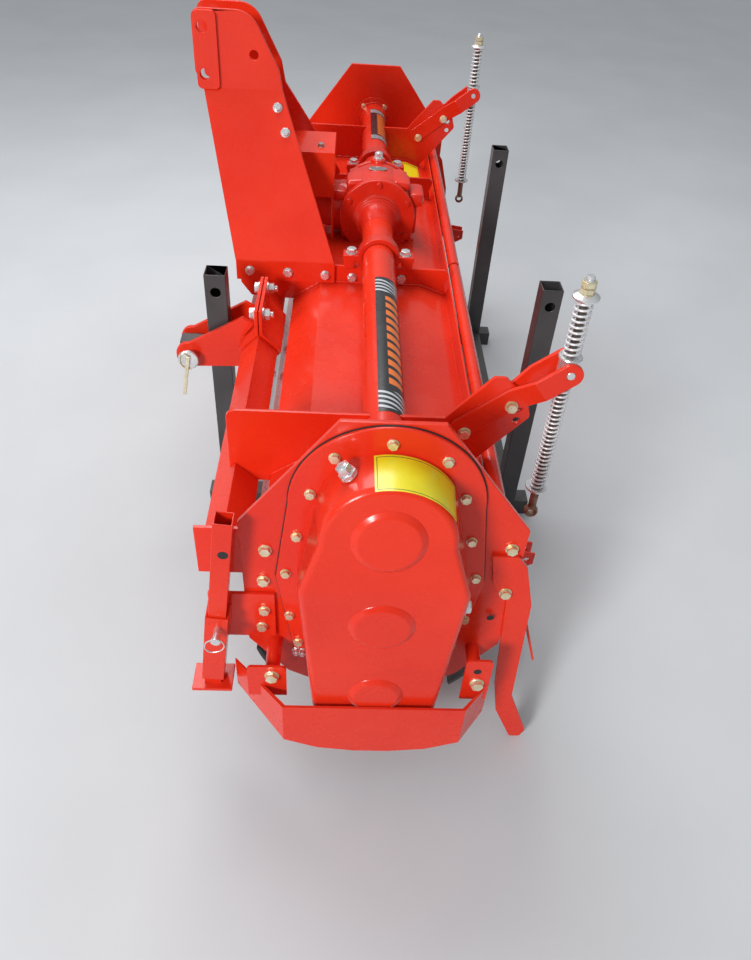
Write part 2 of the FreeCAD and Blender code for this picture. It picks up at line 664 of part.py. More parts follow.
def outer_supports():
    slope = "(hood_top - rear_high) / (hood_rear - flat_rear)"
    corners = [
        ("outer_front", "outer_top"),
        ("outer_front", "beam_high + beam_size * 0.70711 - (outer_front - beam_front)"),
        ("beam_front", "beam_high + beam_size * 0.70711"),
        ("beam_front - beam_size * 0.70711", "beam_high"),
        (skirt_front_at("beam_high"), "beam_high"),
    ] + HOOD_SEAT + [
        ("-outer_rear", "hood_top - (outer_rear - flat_rear) * " + slope),
        ("-horn_rear", "horn_low"),
        ("-horn_rear + horn_chamfer / 2", "horn_top - 2 * horn_chamfer"),
        ("-horn_rear + 5 * horn_chamfer / 2", "horn_top"),
        ("-horn_rear + 7 * horn_chamfer / 2", "horn_top"),
        ("-outer_waist", "outer_top"),
    ]
    spare_holes = [
        ("-horn_rear + horn_hole_in", "horn_low - horn_hole_apart / 3", "horn_hole_dia / 2"),
        ("-horn_rear + horn_hole_in", "horn_low + 2 * horn_hole_apart / 3", "horn_hole_dia / 2"),
    ]
    for name, side in SIDES:
        middle = "%d * %s" % (side, OUTER_REACH)
        face = plate("outer_support_" + name + "_plate", "YZ", corners, "support_thick",
                     (centred(middle, "support_thick"), "0", "0"), spare_holes,
                     [("18", [0]), ("12", [9, 10, 11])])
        groove = rod("tube_groove_" + name, "tube_dia / 2 + weld_gap", "support_thick + 2",
                     (centred(middle, "(support_thick + 2)"), "0", "tube_high"))
        subpart(cut("outer_support_" + name + "_whole", face, groove), "outer_support_" + name)


def centre_supports():
    corners = [
        ("centre_front", "centre_top"),
        ("centre_front", "centre_chin_high"),
        ("centre_front - centre_chin", "beam_high + seat_rise"),
        ("beam_front + beam_size * 0.70711 - seat_rise", "beam_high + seat_rise"),
        ("beam_front", "beam_high + beam_size * 0.70711"),
        ("beam_front - beam_size * 0.70711 + seat_fall", "beam_high + seat_fall"),
        (skirt_front_at("beam_high + seat_fall"), "beam_high + seat_fall"),
    ] + HOOD_SEAT + [
        ("-hood_rear", "rear_high"),
        ("-centre_rear + centre_heel / 2", "rear_high + centre_heel"),
        ("-centre_rear", "centre_top"),
    ]
    for name, side in SIDES:
        middle = "head_x + %d * centre_support_reach" % side
        face = plate("centre_support_" + name + "_plate", "YZ", corners, "support_thick",
                     (centred(middle, "support_thick"), "0", "0"), (), [("14", [0, 12])])
        groove = rod("clamp_seat_" + name, "tube_dia / 2 + clamp_ring + weld_gap", "support_thick + 2",
                     (centred(middle, "(support_thick + 2)"), "0", "tube_high"))
        subpart(cut("centre_support_" + name + "_whole", face, groove), "centre_support_" + name)


def tube_clamps():
    for name, side in SIDES:
        start = centred("head_x + %d * centre_support_reach" % side, "clamp_long")
        ring = rod("clamp_ring_" + name, "tube_dia / 2 + clamp_ring", "clamp_long", (start, "0", "tube_high"))
        ears = block("clamp_ears_" + name, ("clamp_long", "2 * clamp_half", "clamp_ear"),
                     (start, "-clamp_half", "tube_high - clamp_ear / 2"))
        foot_size = ("clamp_long", "clamp_foot", "tube_high - centre_top")
        feet = [block("clamp_foot_%s_%d" % (name, step), foot_size,
                      (start, "%d * (clamp_half - clamp_foot * 0.58) - clamp_foot / 2" % step, "centre_top"))
                for step in (-1, 1)]
        bore = rod("clamp_bore_" + name, "tube_dia / 2 + weld_gap", "clamp_long", (start, "0", "tube_high"))
        whole = cut("tube_clamp_" + name + "_whole", join("clamp_body_" + name, [ring, ears] + feet), bore)
        subpart(whole, "tube_clamp_" + name)


def axle_tubes():
    neck_left = "head_x - gear_long / 2 - neck_long"
    left = pipe("axle_tube_left_pipe", "tube_dia / 2", "tube_dia / 2 - tube_wall",
                "%s + width_inside / 2" % neck_left, ("-width_inside / 2", "0", "tube_high"))
    subpart(left, "axle_tube_left")
    neck_right = "head_x + gear_long / 2 + neck_long"
    right = pipe("axle_tube_right_pipe", "tube_dia / 2", "tube_dia / 2 - tube_wall",
                 "width_inside / 2 - (%s)" % neck_right, (neck_right, "0", "tube_high"))
    flange = pipe("axle_end_flange", "end_flange_dia / 2", "tube_dia / 2 - tube_wall", "end_flange_thick",
                  ("width_inside / 2 - end_flange_thick", "0", "tube_high"))
    flare_at = ("width_inside / 2 - end_flange_thick - flare_long", "0", "tube_high")
    flare = cone("axle_flare_skin", "tube_dia / 2", "tube_dia / 2 + flare_rise", "flare_long", flare_at)
    hollow = rod("axle_flare_bore", "tube_dia / 2 - tube_wall", "flare_long", flare_at)
    whole = join("axle_tube_right_whole", [right, flange, cut("axle_flare", flare, hollow)])
    subpart(whole, "axle_tube_right")


def gearbox():
    drum = rod("gear_drum", "gear_radius", "gear_long", ("head_x - gear_long / 2", "0", "tube_high"))
    wide = "(gear_radius + gear_rim_over)"
    seat = block("gear_space", ("gear_long", "2 * " + wide, "tube_high + %s - gear_base" % wide),
                 ("head_x - gear_long / 2", "-" + wide, "gear_base"))
    foot = block("gear_foot", ("gear_long - 2 * gear_foot_inset", "2 * gear_radius", "gear_foot_tall"),
                 ("head_x - gear_long / 2 + gear_foot_inset", "-gear_radius", "gear_base"))
    rim = [rod("gear_rim_%d" % k, wide, "gear_rim_wide", (at, "0", "tube_high")) for k, at in enumerate((
        "head_x - gear_long / 2 + gear_rim_inset",
        "head_x + gear_long / 2 - gear_rim_inset - gear_rim_wide"))]
    round_part = common("gear_flat", [join("gear_round", [drum] + rim), seat])
    snout = rod("gear_snout", "snout_dia / 2", "snout_front", ("head_x", "0", "tube_high"), "Y")
    snout_base = rod("gear_snout_base", "snout_dia / 2 + snout_base_wall", "snout_base_front",
                     ("head_x", "0", "tube_high"), "Y")
    necks = []
    for name, side in SIDES:
        start = "head_x + %d * gear_long / 2" % side if side > 0 else "head_x - gear_long / 2 - neck_long"
        radii = ["tube_dia / 2 + neck_over", "neck_dia / 2"][::-side]
        necks.append(cone("gear_neck_" + name, radii[0], radii[1], "neck_long", (start, "0", "tube_high")))
    cap = rod("gear_filler_boss", "filler_boss_dia / 2", "gear_radius + filler_boss_over",
              ("head_x", "0", "tube_high"), "Z")
    shaft_bore = rod("gear_shaft_bore", "shaft_seat_dia / 2 + running_gap", "shaft_hold",
                     ("head_x", "snout_front - shaft_hold", "tube_high"), "Y")
    solid = join("gear_solid", [round_part, foot, snout, snout_base, cap] + necks)
    subpart(cut("gearbox_whole", solid, shaft_bore), "gearbox_housing")
    seat_part = rod("shaft_seat", "shaft_seat_dia / 2", "shaft_hold + shaft_collar",
                    ("head_x", "snout_front - shaft_hold", "tube_high"), "Y")
    end_part = rod("shaft_end", "shaft_dia / 2", "shaft_front - snout_front - shaft_collar",
                   ("head_x", "snout_front + shaft_collar", "tube_high"), "Y")
    subpart(join("input_shaft_whole", [seat_part, end_part]), "input_shaft")


def shaft_shield():
    path = [
        ("head_x - shield_wide / 2", SHIELD_LOW),
        ("head_x - shield_wide / 2", SHIELD_TOP),
        ("head_x + shield_wide / 2", SHIELD_TOP),
        ("head_x + shield_wide / 2", SHIELD_LOW),
    ]
    cover = bent_sheet("shield_cover", "XZ", path, "shield_thick", "shield_front - snout_base_front",
                       ("0", "shield_front", "0"))
    back = plate("shield_back", "XZ", [
        ("head_x - shield_wide / 2", "tube_high - snout_dia / 2 - shield_chin"),
        ("head_x + shield_wide / 2", "tube_high - snout_dia / 2 - shield_chin"),
        ("head_x + shield_wide / 2", SHIELD_TOP),
        ("head_x - shield_wide / 2", SHIELD_TOP),
    ], "shield_back_thick", ("0", "snout_base_front + shield_back_thick", "0"),
        [("head_x", "tube_high", "snout_dia / 2 + weld_gap")])
    subpart(join("shaft_shield_whole", [cover, back]), "shaft_shield")


def mast():
    run = "(centre_support_reach + support_thick / 2 - mast_gap / 2)"
    low_x = "head_x - centre_support_reach - support_thick / 2"
    high_x = "head_x - mast_gap / 2"
    path = [
        (low_x, "mast_fold - mast_hem"),
        (low_x, "mast_fold"),
        (high_x, MAST_BEND),
        (high_x, MAST_TOP),
    ]
    sheet_part = bent_sheet("mast_sheet", "XZ", path, "-mast_thick", "mast_front - mast_rear",
                            ("0", "mast_front", "0"))
    side_view = [
        ("mast_rear", "mast_fold - mast_hem"),
        ("mast_hem_front", "mast_fold - mast_hem"),
        ("mast_hem_front", "mast_fold"),
        ("mast_front - mast_step", MAST_BEND),
        ("mast_front", MAST_BEND + " + mast_nose"),
        ("mast_front", MAST_TOP),
        ("mast_crown_rear", MAST_TOP),
        ("mast_waist + mast_step / 2", MAST_BEND + " + mast_hem"),
        ("mast_waist", MAST_BEND),
        ("mast_rear", "mast_fold"),
    ]
    blank = plate("mast_blank", "YZ", side_view, run + " + 2 * mast_hem", (low_x + " - mast_hem", "0", "0"), [
        ("link_front", LINK_HIGH, "link_hole_dia / 2"),
        ("link_front", LINK_LOW, "link_hole_dia / 2"),
        ("mast_hole_front", MAST_HOLE_HIGH, "mast_hole_dia / 2"),
    ], [("22", [5]), ("60", [6])])
    pad = plate("mast_pad_left", "YZ", [
        ("mast_front - pad_wide - 5", LINK_LOW + " - pad_over"),
        ("mast_front - 5", LINK_LOW + " - pad_over"),
        ("mast_front - 5", LINK_HIGH + " + pad_over"),
        ("mast_front - pad_wide - 5", LINK_HIGH + " + pad_over"),
    ], "pad_thick", (high_x + " - mast_thick - pad_thick", "0", "0"), [
        ("link_front", LINK_HIGH, "link_hole_dia / 2"),
        ("link_front", LINK_LOW, "link_hole_dia / 2"),
    ], [("12", [0, 1, 2, 3])])
    left = join("mast_left_whole", [common("mast_left_sheet", [sheet_part, blank]), pad])
    subpart(left, "mast_plate_left")
    subpart(mirrored("mast_right_whole", left, "head_x"), "mast_plate_right", moved=False)
    inset = "(MAST_BEND - %s) * %s / (MAST_BEND - mast_fold)".replace("MAST_BEND", MAST_BEND)
    corners = []
    for height, step in ((WEB_LOW, -1), (WEB_LOW, 1), (WEB_TOP, 1), (WEB_TOP, -1)):
        half = "mast_gap / 2 + " + inset % (height, run)
        corners.append(("head_x + %d * (%s)" % (step, half), height))
    subpart(plate("mast_web", "XZ", corners, "web_thick", ("0", "web_front", "0")), "mast_web")


def hitch_brackets():
    flat = "beam_size * 0.70711"
    eye = ("eye_front", "eye_high")
    for name, side in SIDES:
        middle = "head_x + %d * %s" % (side, HITCH_REACH)
        start = centred(middle, "bracket_long")
        halves = []
        for face, step in (("front", 1), ("rear", -1)):
            path = [
                ("beam_front + %d * 1" % step, "beam_high + %s + bracket_tab" % flat),
                ("beam_front + %d * 1" % step, "beam_high + %s - 1" % flat),
                ("beam_front + %d * %s" % (step, flat), "beam_high"),
                ("beam_front + %d * 1" % step, "beam_high - %s + 1" % flat),
                ("beam_front + %d * 1" % step, "beam_high - %s - bracket_tab * 0.6" % flat),
            ]
            halves.append(bent_sheet("bracket_%s_%s" % (face, name), "YZ", path,
                                     "%d * bracket_thick" % -step, "bracket_long", (start, "0", "0")))
        arms = []
        for step in (-1, 1):
            at = "%s + %d * (arm_gap + arm_thick) / 2 - arm_thick / 2" % (middle, step)
            corners = [
                ("beam_front + %s + bracket_thick" % flat, "beam_high"),
                ("beam_front + %s + bracket_thick - arm_root * 0.75" % flat, "beam_high + arm_root"),
                ("beam_front + %s" % flat, "beam_high + arm_shoulder"),
                ("eye_front", "eye_high + eye_radius"),
                ("eye_front + eye_radius", "eye_high + eye_radius"),
                ("eye_front + eye_radius", "eye_high - eye_radius"),
                ("eye_front", "eye_high - eye_radius"),
                ("beam_front + %s + bracket_thick - arm_root * 0.5" % flat, "beam_high - arm_heel"),
                ("beam_front + %s + bracket_thick - arm_root * 0.83" % flat, "beam_high - arm_root"),
            ]
            arm = plate("hitch_arm_%s_%d" % (name, step), "YZ", corners, "arm_thick", (at, "0", "0"),
                        [("eye_front", "eye_high", "pin_dia / 2 + running_gap")],
                        [("eye_radius * 0.9", [4, 5])])
            arms.append(arm)
        front = join("hitch_bracket_" + name + "_whole", [halves[0]] + arms)
        subpart(front, "hitch_bracket_" + name)
        subpart(halves[1], "hitch_clamp_" + name)
        half = "(arm_gap / 2 + arm_thick)"
        span = "2 * %s + pin_over" % half
        if side < 0:
            starts = ("%s - %s - pin_over", "%s - %s - pin_disc_thick", "%s + %s")
        else:
            starts = ("%s - %s", "%s + %s", "%s - %s - pin_head_thick")
        starts = [text % (middle, half) for text in starts]
        pieces = [
            rod("hitch_shank_" + name, "pin_dia / 2", span, (starts[0],) + eye),
            rod("hitch_disc_" + name, "pin_disc_dia / 2", "pin_disc_thick", (starts[1],) + eye),
            rod("hitch_head_" + name, "pin_head_dia / 2", "pin_head_thick", (starts[2],) + eye),
        ]
        subpart(join("hitch_pin_" + name + "_whole", pieces), "hitch_pin_" + name)


def transport_stand():
    posts = (("front", "post_front"), ("rear", "-post_rear"))
    for name, side in SIDES:
        middle = "head_x + %d * %s" % (side, HITCH_REACH)
        pieces = []
        for place_name, at_y in posts:
            tube = square_tube("post_%s_%s" % (place_name, name), "post_size", "post_wall",
                               "post_top - post_size", (middle, at_y, "post_size"))
            hole = rod("post_hole_%s_%s" % (place_name, name), "post_hole_dia / 2", "post_size + 2",
                       (centred(middle, "(post_size + 2)"), at_y, "post_top - post_hole_drop"))
            pieces.append(cut("post_drilled_%s_%s" % (place_name, name), tube, hole))
        foot_at = (middle, "-post_rear - post_size / 2 - foot_bar_over", "post_size / 2")
        foot = square_tube("foot_bar_" + name, "post_size", "post_wall",
                           "post_front + post_rear + post_size + 2 * foot_bar_over", foot_at, ALONG["Y"])
        pieces.append(foot)
        tongue = block("stand_tongue_" + name,
                       ("tongue_wide", "eye_front - post_front - post_size / 2 + tongue_over", "tongue_tall"),
                       (centred(middle, "tongue_wide"), "post_front + post_size / 2",
                        "eye_high - tongue_tall / 2"))
        hole = rod("tongue_hole_" + name, "pin_dia / 2 + running_gap", "post_size",
                   (centred(middle, "post_size"), "eye_front", "eye_high"))
        pieces.append(cut("stand_tongue_drilled_" + name, tongue, hole))
        subpart(join("stand_frame_" + name + "_whole", pieces), "stand_frame_" + name)
    tie_long = "2 * %s - post_size" % HITCH_REACH
    ties = [square_tube("stand_tie_" + place_name, "post_size", "post_wall", tie_long,
                        ("head_x - %s + post_size / 2" % HITCH_REACH, at_y, "post_size / 2"), ALONG["X"])
            for place_name, at_y in posts]
    subpart(group("stand_ties_pair", ties), "stand_ties")


def case_outline(arch, wide, wide_high, low, low_high, foot=None):
    """Right half of one of the gear case's outlines, from its arch's end down; the arch is a half circle."""
    half = [(arch, "tube_high"), (wide, wide_high), (low, low_high)]
    if foot:
        half.append(foot)
    return half


def case_face(half, at_x):
    """A flat face: a half circle over the tube axis, straight sides and a straight foot."""
    points = [FreeCAD.Vector(0, number(u), number(v)) for u, v in half]
    mirror = [FreeCAD.Vector(0, -p.y, p.z) for p in points]
    radius = points[0].y
    crown = FreeCAD.Vector(0, 0, number("tube_high") + radius)
    edges = [Part.Arc(mirror[0], crown, points[0]).toShape()]
    ring = points + mirror[::-1]
    edges += [Part.makeLine(a, b) for a, b in zip(ring, ring[1:])]
    wire = Part.Wire(edges)
    wire.translate(FreeCAD.Vector(number(at_x), 0, 0))
    return wire


def gear_case():
    flange_x = "-(width_inside / 2 + plate_thick + case_flange_thick)"
    flange = case_outline("flange_arch", "flange_wide_half", "flange_wide_high",
                          "flange_low_half", "flange_low_high", ("flange_foot_half", "flange_foot_high"))
    ring = Part.Face(case_face(flange, flange_x)).extrude(FreeCAD.Vector(number("case_flange_thick"), 0, 0))
    base = case_outline("cover_arch", "cover_wide_half", "cover_wide_high",
                        "cover_foot_half", "cover_foot_high")
    rim = case_outline("face_arch", "face_wide_half", "face_wide_high", "face_foot_half", "face_foot_high")
    top = case_outline("face_arch - face_inset", "face_wide_half - face_inset", "face_wide_high",
                       "face_foot_half - face_inset", "face_foot_high + face_inset")
    front_x = flange_x + " - cover_deep"
    wires = [
        case_face(base, flange_x),
        case_face(rim, front_x + " + cover_round"),
        case_face(top, front_x),
    ]
    skin = Part.makeLoft(wires, True, True)
    hollow_base = [("(%s) - cover_wall" % u, v) for u, v in base]
    hollow_top = [("(%s) - cover_wall" % u, v) for u, v in top]
    hollow = Part.makeLoft([
        case_face(hollow_base, "-width_inside / 2 - plate_thick"),
        case_face(hollow_top, front_x + " + cover_crown"),
    ], True, True)
    deep, wide = number("cover_deep"), number("flange_wide_half")
    lean = Part.makeBox(deep, 2 * wide, number("tube_high + flange_arch - face_wide_high"),
                        FreeCAD.Vector(-deep, -wide, 0))
    lean.rotate(FreeCAD.Vector(0, 0, 0), FreeCAD.Vector(0, 1, 0), number("face_lean"))
    lean.translate(FreeCAD.Vector(number(front_x), 0, number("face_wide_high")))
    case = doc.addObject("Part::Feature", "gear_case_cover_shape")
    case.Shape = ring.fuse(skin.cut(lean)).cut(hollow).removeSplitter()
    subpart(case, "gear_case_cover")


def case_guard():
    front_x = "-(width_inside / 2 + plate_thick + guard_reach)"
    pieces = [plate("guard_front", "YZ", [
        ("-guard_half", "guard_top"),
        ("guard_half", "guard_top"),
        ("guard_half", "guard_side_high"),
        ("guard_half * 0.62", "guard_low + 10"),
        ("guard_half * 0.2", "guard_low"),
        ("-guard_half * 0.2", "guard_low"),
        ("-guard_half * 0.62", "guard_low + 10"),
        ("-guard_half", "guard_side_high"),
    ], "guard_thick", (front_x, "0", "0"))]
    for name, step in (("front", 1), ("rear", -1)):
        tip = "%d * (guard_half + wing_%s)" % (step, name)
        strip = plate("guard_wing_" + name, "XY", [
            (front_x, "%d * guard_half" % step),
            (front_x + " + wing_%s_back" % name, tip),
            (front_x + " + wing_%s_back + guard_thick" % name, tip),
            (front_x + " + guard_thick", "%d * (guard_half - guard_thick)" % step),
        ], "wing_top - guard_side_high", ("0", "0", "guard_side_high"))
        taper = plate("guard_taper_" + name, "YZ", [
            ("%d * (guard_half - guard_thick)" % step, "guard_top"),
            (tip, "wing_top"),
            (tip, "wing_%s_low" % name),
            ("%d * (guard_half - guard_thick)" % step, "guard_side_high"),
        ], "guard_reach", (front_x, "0", "0"))
        inner, outer = "%d * (guard_half - guard_thick)" % step, "%d * lug_%s_out" % (step, name)
        lug = plate("guard_lug_" + name, "YZ", [
            (inner, "guard_top - lug_hold"),
            (outer, "guard_top - lug_hold"),
            (outer, "lug_%s_top" % name),
            (inner, "lug_%s_top" % name),
        ], "guard_thick", (front_x + " + lug_back", "0", "0"), [], [("10", [2, 3])])
        spacer = pipe("guard_spacer_" + name, "spacer_dia / 2", "spacer_bore / 2",
                      "guard_reach - lug_back - guard_thick",
                      (front_x + " + lug_back + guard_thick", "%d * lug_bolt" % step, "lug_%s_high" % name))
        pieces += [common("guard_wing_cut_" + name, [strip, taper]), lug, spacer]
    subpart(join("case_guard_whole", pieces), "case_guard")


def runners():
    """Bent bars behind the side plates, which reach back and down to the ground."""
    corners = [
        ("-%s + 10" % PLATE_HALF, "runner_top"),
        ("-%s - 10" % PLATE_HALF, "runner_top - 28"),
        ("-%s - 36" % PLATE_HALF, "runner_top - 130"),
        ("-%s - 50" % PLATE_HALF, "runner_knee"),
        ("-runner_tip", "runner_low + 24"),
        ("-runner_tip + 8", "runner_low"),
        ("-runner_tip + 32", "runner_low"),
        ("-%s - 24" % PLATE_HALF, "runner_knee - 54"),
        ("-%s - 7" % PLATE_HALF, "runner_knee + 40"),
        ("-%s + 6" % PLATE_HALF, "runner_top - 226"),
        ("-%s + 14" % PLATE_HALF, "runner_top - 118"),
        ("-%s + 46" % PLATE_HALF, "runner_top - 72"),
        ("-%s + 58" % PLATE_HALF, "runner_top"),
    ]
    for name, side in SIDES:
        bar = plate("runner_" + name + "_bar", "YZ", corners, "runner_thick",
                    (outer_face(side, "runner_thick"), "0", "0"), (), [("7", [4, 5, 6])])
        subpart(bar, "runner_" + name)


def parking_legs():
    lean = FreeCAD.Rotation(FreeCAD.Vector(1, 0, 0), number("leg_lean"))
    for name, side in SIDES:
        web = plate("leg_web_" + name, "YZ", [
            ("leg_front - web_back", "sleeve_mid_high - web_drop"),
            ("leg_front + web_over", "sleeve_mid_high - web_drop"),
            ("leg_front + web_over", "sleeve_mid_high + web_rise"),
            ("leg_front - web_back", "sleeve_mid_high + web_rise"),
        ], "support_thick", (outer_face(side, "support_thick"), "0", "0"))
        middle_x = "%d * (width_inside / 2 + plate_thick + support_thick + sleeve_size / 2)" % side
        foot = ("leg_front + sleeve_long / 2 * sin(leg_lean)",
                "sleeve_mid_high - sleeve_long / 2 * cos(leg_lean)")
        sleeve = square_tube("leg_sleeve_" + name, "sleeve_size", "sleeve_wall", "sleeve_long",
                             (middle_x, foot[0], foot[1]), lean)
        subpart(join("leg_holder_" + name + "_whole", [web, sleeve]), "leg_holder_" + name)
        low = ("leg_front + leg_out * sin(leg_lean)", "sleeve_mid_high - leg_out * cos(leg_lean)")
        size = "sleeve_size - 2 * sleeve_wall - 2 * leg_gap"
        tube = square_tube("leg_tube_" + name, size, "leg_wall", "leg_long", (middle_x, low[0], low[1]), lean)
        shoe = block("leg_shoe_" + name, ("shoe_wide", "shoe_long", "shoe_thick"),
                     (centred(middle_x, "shoe_wide"), low[0] + " - shoe_long / 2", low[1] + " - shoe_thick"))
        subpart(join("parking_leg_" + name + "_whole", [tube, shoe]), "parking_leg_" + name)


def trailing_board():
    half = "width_inside / 2 - board_side_gap"
    board = bent_sheet("board_sheet", "YZ", BOARD, "board_thick", "2 * (%s)" % half,
                       ("-(%s)" % half, "0", "0"))
    knuckles = []
    for name, start in (("left", "-(%s)" % half), ("right", "board_notch / 2")):
        knuckles.append(rod("board_knuckle_" + name, "knuckle_dia / 2", "%s - board_notch / 2" % half,
                            (start, "-hinge_rear", "hinge_high")))
    lugs = []
    for name, side in SIDES:
        for step in (-1, 1):
            middle = "%d * %s + %d * board_lug_apart / 2" % (side, OUTER_REACH, step)
            lugs.append(plate("board_lug_%s_%d" % (name, step + 1), "YZ", [
                BOARD[2],
                ("-board_rear + 0.62 * board_kick", "board_low + 0.61 * board_kick_high"),
                ("-board_rear - board_lug_out", "board_low + 0.75 * board_kick_high"),
                ("-board_rear - board_lug_out", "board_low + 0.95 * board_kick_high"),
            ], "board_lug_thick", (centred(middle, "board_lug_thick"), "0", "0"),
                [("-board_rear + board_lug_out", "board_low + 0.83 * board_kick_high",
                  "board_lug_hole / 2")]))
    bore = rod("board_bore", "hinge_dia / 2 + running_gap", "width_inside",
               ("-width_inside / 2", "-hinge_rear", "hinge_high"))
    solid = join("board_solid", [board] + knuckles + lugs)
    subpart(cut("trailing_board_whole", solid, bore), "trailing_board")
    subpart(rod("hinge_rod_whole", "hinge_dia / 2", "width_inside",
                ("-width_inside / 2", "-hinge_rear", "hinge_high")), "hinge_rod")


def lever(name, middle, step):
    """One of two flat bars that reach back from an outer support and spread at the trunnion."""
    run, rise = "(rod_rear - lever_bolt_rear)", "(trunnion_high - lever_bolt_high)"
    reach = "sqrt(%s ^ 2 + %s ^ 2)" % (run, rise)
    slope = FreeCAD.Rotation(FreeCAD.Vector(1, 0, 0), -math.degrees(math.atan2(number(rise), number(run))))
    near, wide = "%d * support_thick / 2" % step, "%d * lever_gap / 2" % step
    path = [(near, "0"), (near, "-0.52 * " + reach), (wide, "-0.74 * " + reach), (wide, "-" + reach)]
    label = "%s_%d" % (name, step + 1)
    strip = bent_sheet("lever_" + label, "XY", path, "%d * lever_thick" % -step, "lever_wide",
                       ("0", "0", "-lever_wide / 2"))
    place(strip, (middle, "-lever_bolt_rear", "lever_bolt_high"), slope)
    ends = []
    for end, gap, at_y, at_z in (("front", "support_thick", "-lever_bolt_rear", "lever_bolt_high"),
                                 ("rear", "lever_gap", "-rod_rear", "trunnion_high")):
        start = "%s + %d * (%s + lever_thick) / 2 - lever_thick / 2" % (middle, step, gap)
        ends.append(rod("lever_%s_%s" % (end, label), "lever_wide / 2", "lever_thick", (start, at_y, at_z)))
    eye = rod("lever_eye_" + label, "trunnion_pin / 2 + running_gap", "lever_thick",
              (start, "-rod_rear", "trunnion_high"))
    return cut("lever_drilled_" + label, join("lever_whole_" + label, [strip] + ends), eye)


def spring_gear():
    """Levers, trunnions, rods and springs over the trailing board."""
    for name, side in SIDES:
        middle = "%d * %s" % (side, OUTER_REACH)
        subpart(group("spring_levers_" + name + "_pair", [lever(name, middle, step) for step in (-1, 1)]),
                "spring_levers_" + name)
        at = (middle, "-rod_rear")
        eye_foot = "rod_eye_high + rod_eye_dia / 2 - 2"
        shank = rod("rod_shank_" + name, "rod_dia / 2", "rod_top - (%s)" % eye_foot, at + (eye_foot,), "Z")
        eye_at = (centred(middle, "rod_eye_thick"), "-rod_rear", "rod_eye_high")
        eye = cut("rod_eye_" + name,
                  rod("rod_eye_skin_" + name, "rod_eye_dia / 2", "rod_eye_thick", eye_at),
                  rod("rod_eye_hole_" + name, "rod_eye_hole / 2", "rod_eye_thick", eye_at))
        cube = block("trunnion_" + name, ("2 * trunnion_half",) * 3,
                     (middle + " - trunnion_half", "-rod_rear - trunnion_half",
                      "trunnion_high - trunnion_half"))
        pins = rod("trunnion_pins_" + name, "trunnion_pin / 2", "lever_gap + 2 * lever_thick",
                   (centred(middle, "(lever_gap + 2 * lever_thick)"), "-rod_rear", "trunnion_high"))
        upper = ("trunnion_high + trunnion_half + washer_thick", "rod_top - coil_drop")
        lower = ("rod_eye_high + coil_rise", "trunnion_high - trunnion_half - washer_thick")
        washers = []
        for level, (start, dia) in enumerate((
                (upper[1], "washer_dia"),
                ("trunnion_high + trunnion_half", "block_washer_dia"),
                (lower[1], "block_washer_dia"),
                (lower[0] + " - washer_thick", "washer_dia"))):
            label = "rod_washer_%s_%d" % (name, level)
            washers.append(rod(label, dia + " / 2", "washer_thick", at + (start,), "Z"))
        nut = rod("rod_nut_" + name, "rod_nut_dia / 2", "rod_nut_tall",
                  at + (upper[1] + " + washer_thick",), "Z")
        subpart(join("spring_rod_" + name + "_whole", [shank, eye, cube, pins, nut] + washers),
                "spring_rod_" + name)
        coils = []
        for level, (foot, top) in enumerate((upper, lower)):
            coils.append(pipe("coil_%s_%d" % (name, level), "coil_dia / 2", "coil_dia / 2 - coil_wire",
                              "%s - (%s)" % (top, foot), at + (foot,), "Z"))
        subpart(group("springs_" + name + "_pair", coils), "springs_" + name)


def rotor():
    """Rotor tube with its discs, and six bent tines on each disc."""
    half = number("width_inside / 2 - rotor_side_gap")
    axis = FreeCAD.Vector(1, 0, 0)
    tube = Part.makeCylinder(number("rotor_dia / 2"), 2 * half, FreeCAD.Vector(-half, 0, 0), axis)
    stub_half = number("width_inside / 2 + plate_thick - stub_short")
    stub = Part.makeCylinder(number("stub_dia / 2"), 2 * stub_half, FreeCAD.Vector(-stub_half, 0, 0), axis)
    count, foot, thick = int(number("disc_count")), number("tine_foot"), number("rotor_disc_thick")
    first = -half + foot + thick
    pitch = (2 * half - 2 * (foot + thick) - thick) / (count - 1)
    hands = [tine_shape(hand, thick) for hand in (-1, 1)]
    pieces = [tube, stub]
    for disc in range(count):
        start = first + disc * pitch
        disc_radius = number("rotor_disc_dia / 2")
        pieces.append(Part.makeCylinder(disc_radius, thick, FreeCAD.Vector(start, 0, 0), axis))
        for tine in range(TINES):
            shape = hands[tine % 2].copy()
            shape.translate(FreeCAD.Vector(start, 0, 0))
            shape.rotate(FreeCAD.Vector(0, 0, 0), axis, tine * 360 / TINES + disc * number("disc_twist"))
            pieces.append(shape)
    whole = pieces[0].multiFuse(pieces[1:])
    thing = doc.addObject("Part::Feature", "rotor_shape")
    thing.Shape = whole
    place(thing, ("0", "0", "rotor_high"))
    subpart(thing, "rotor")


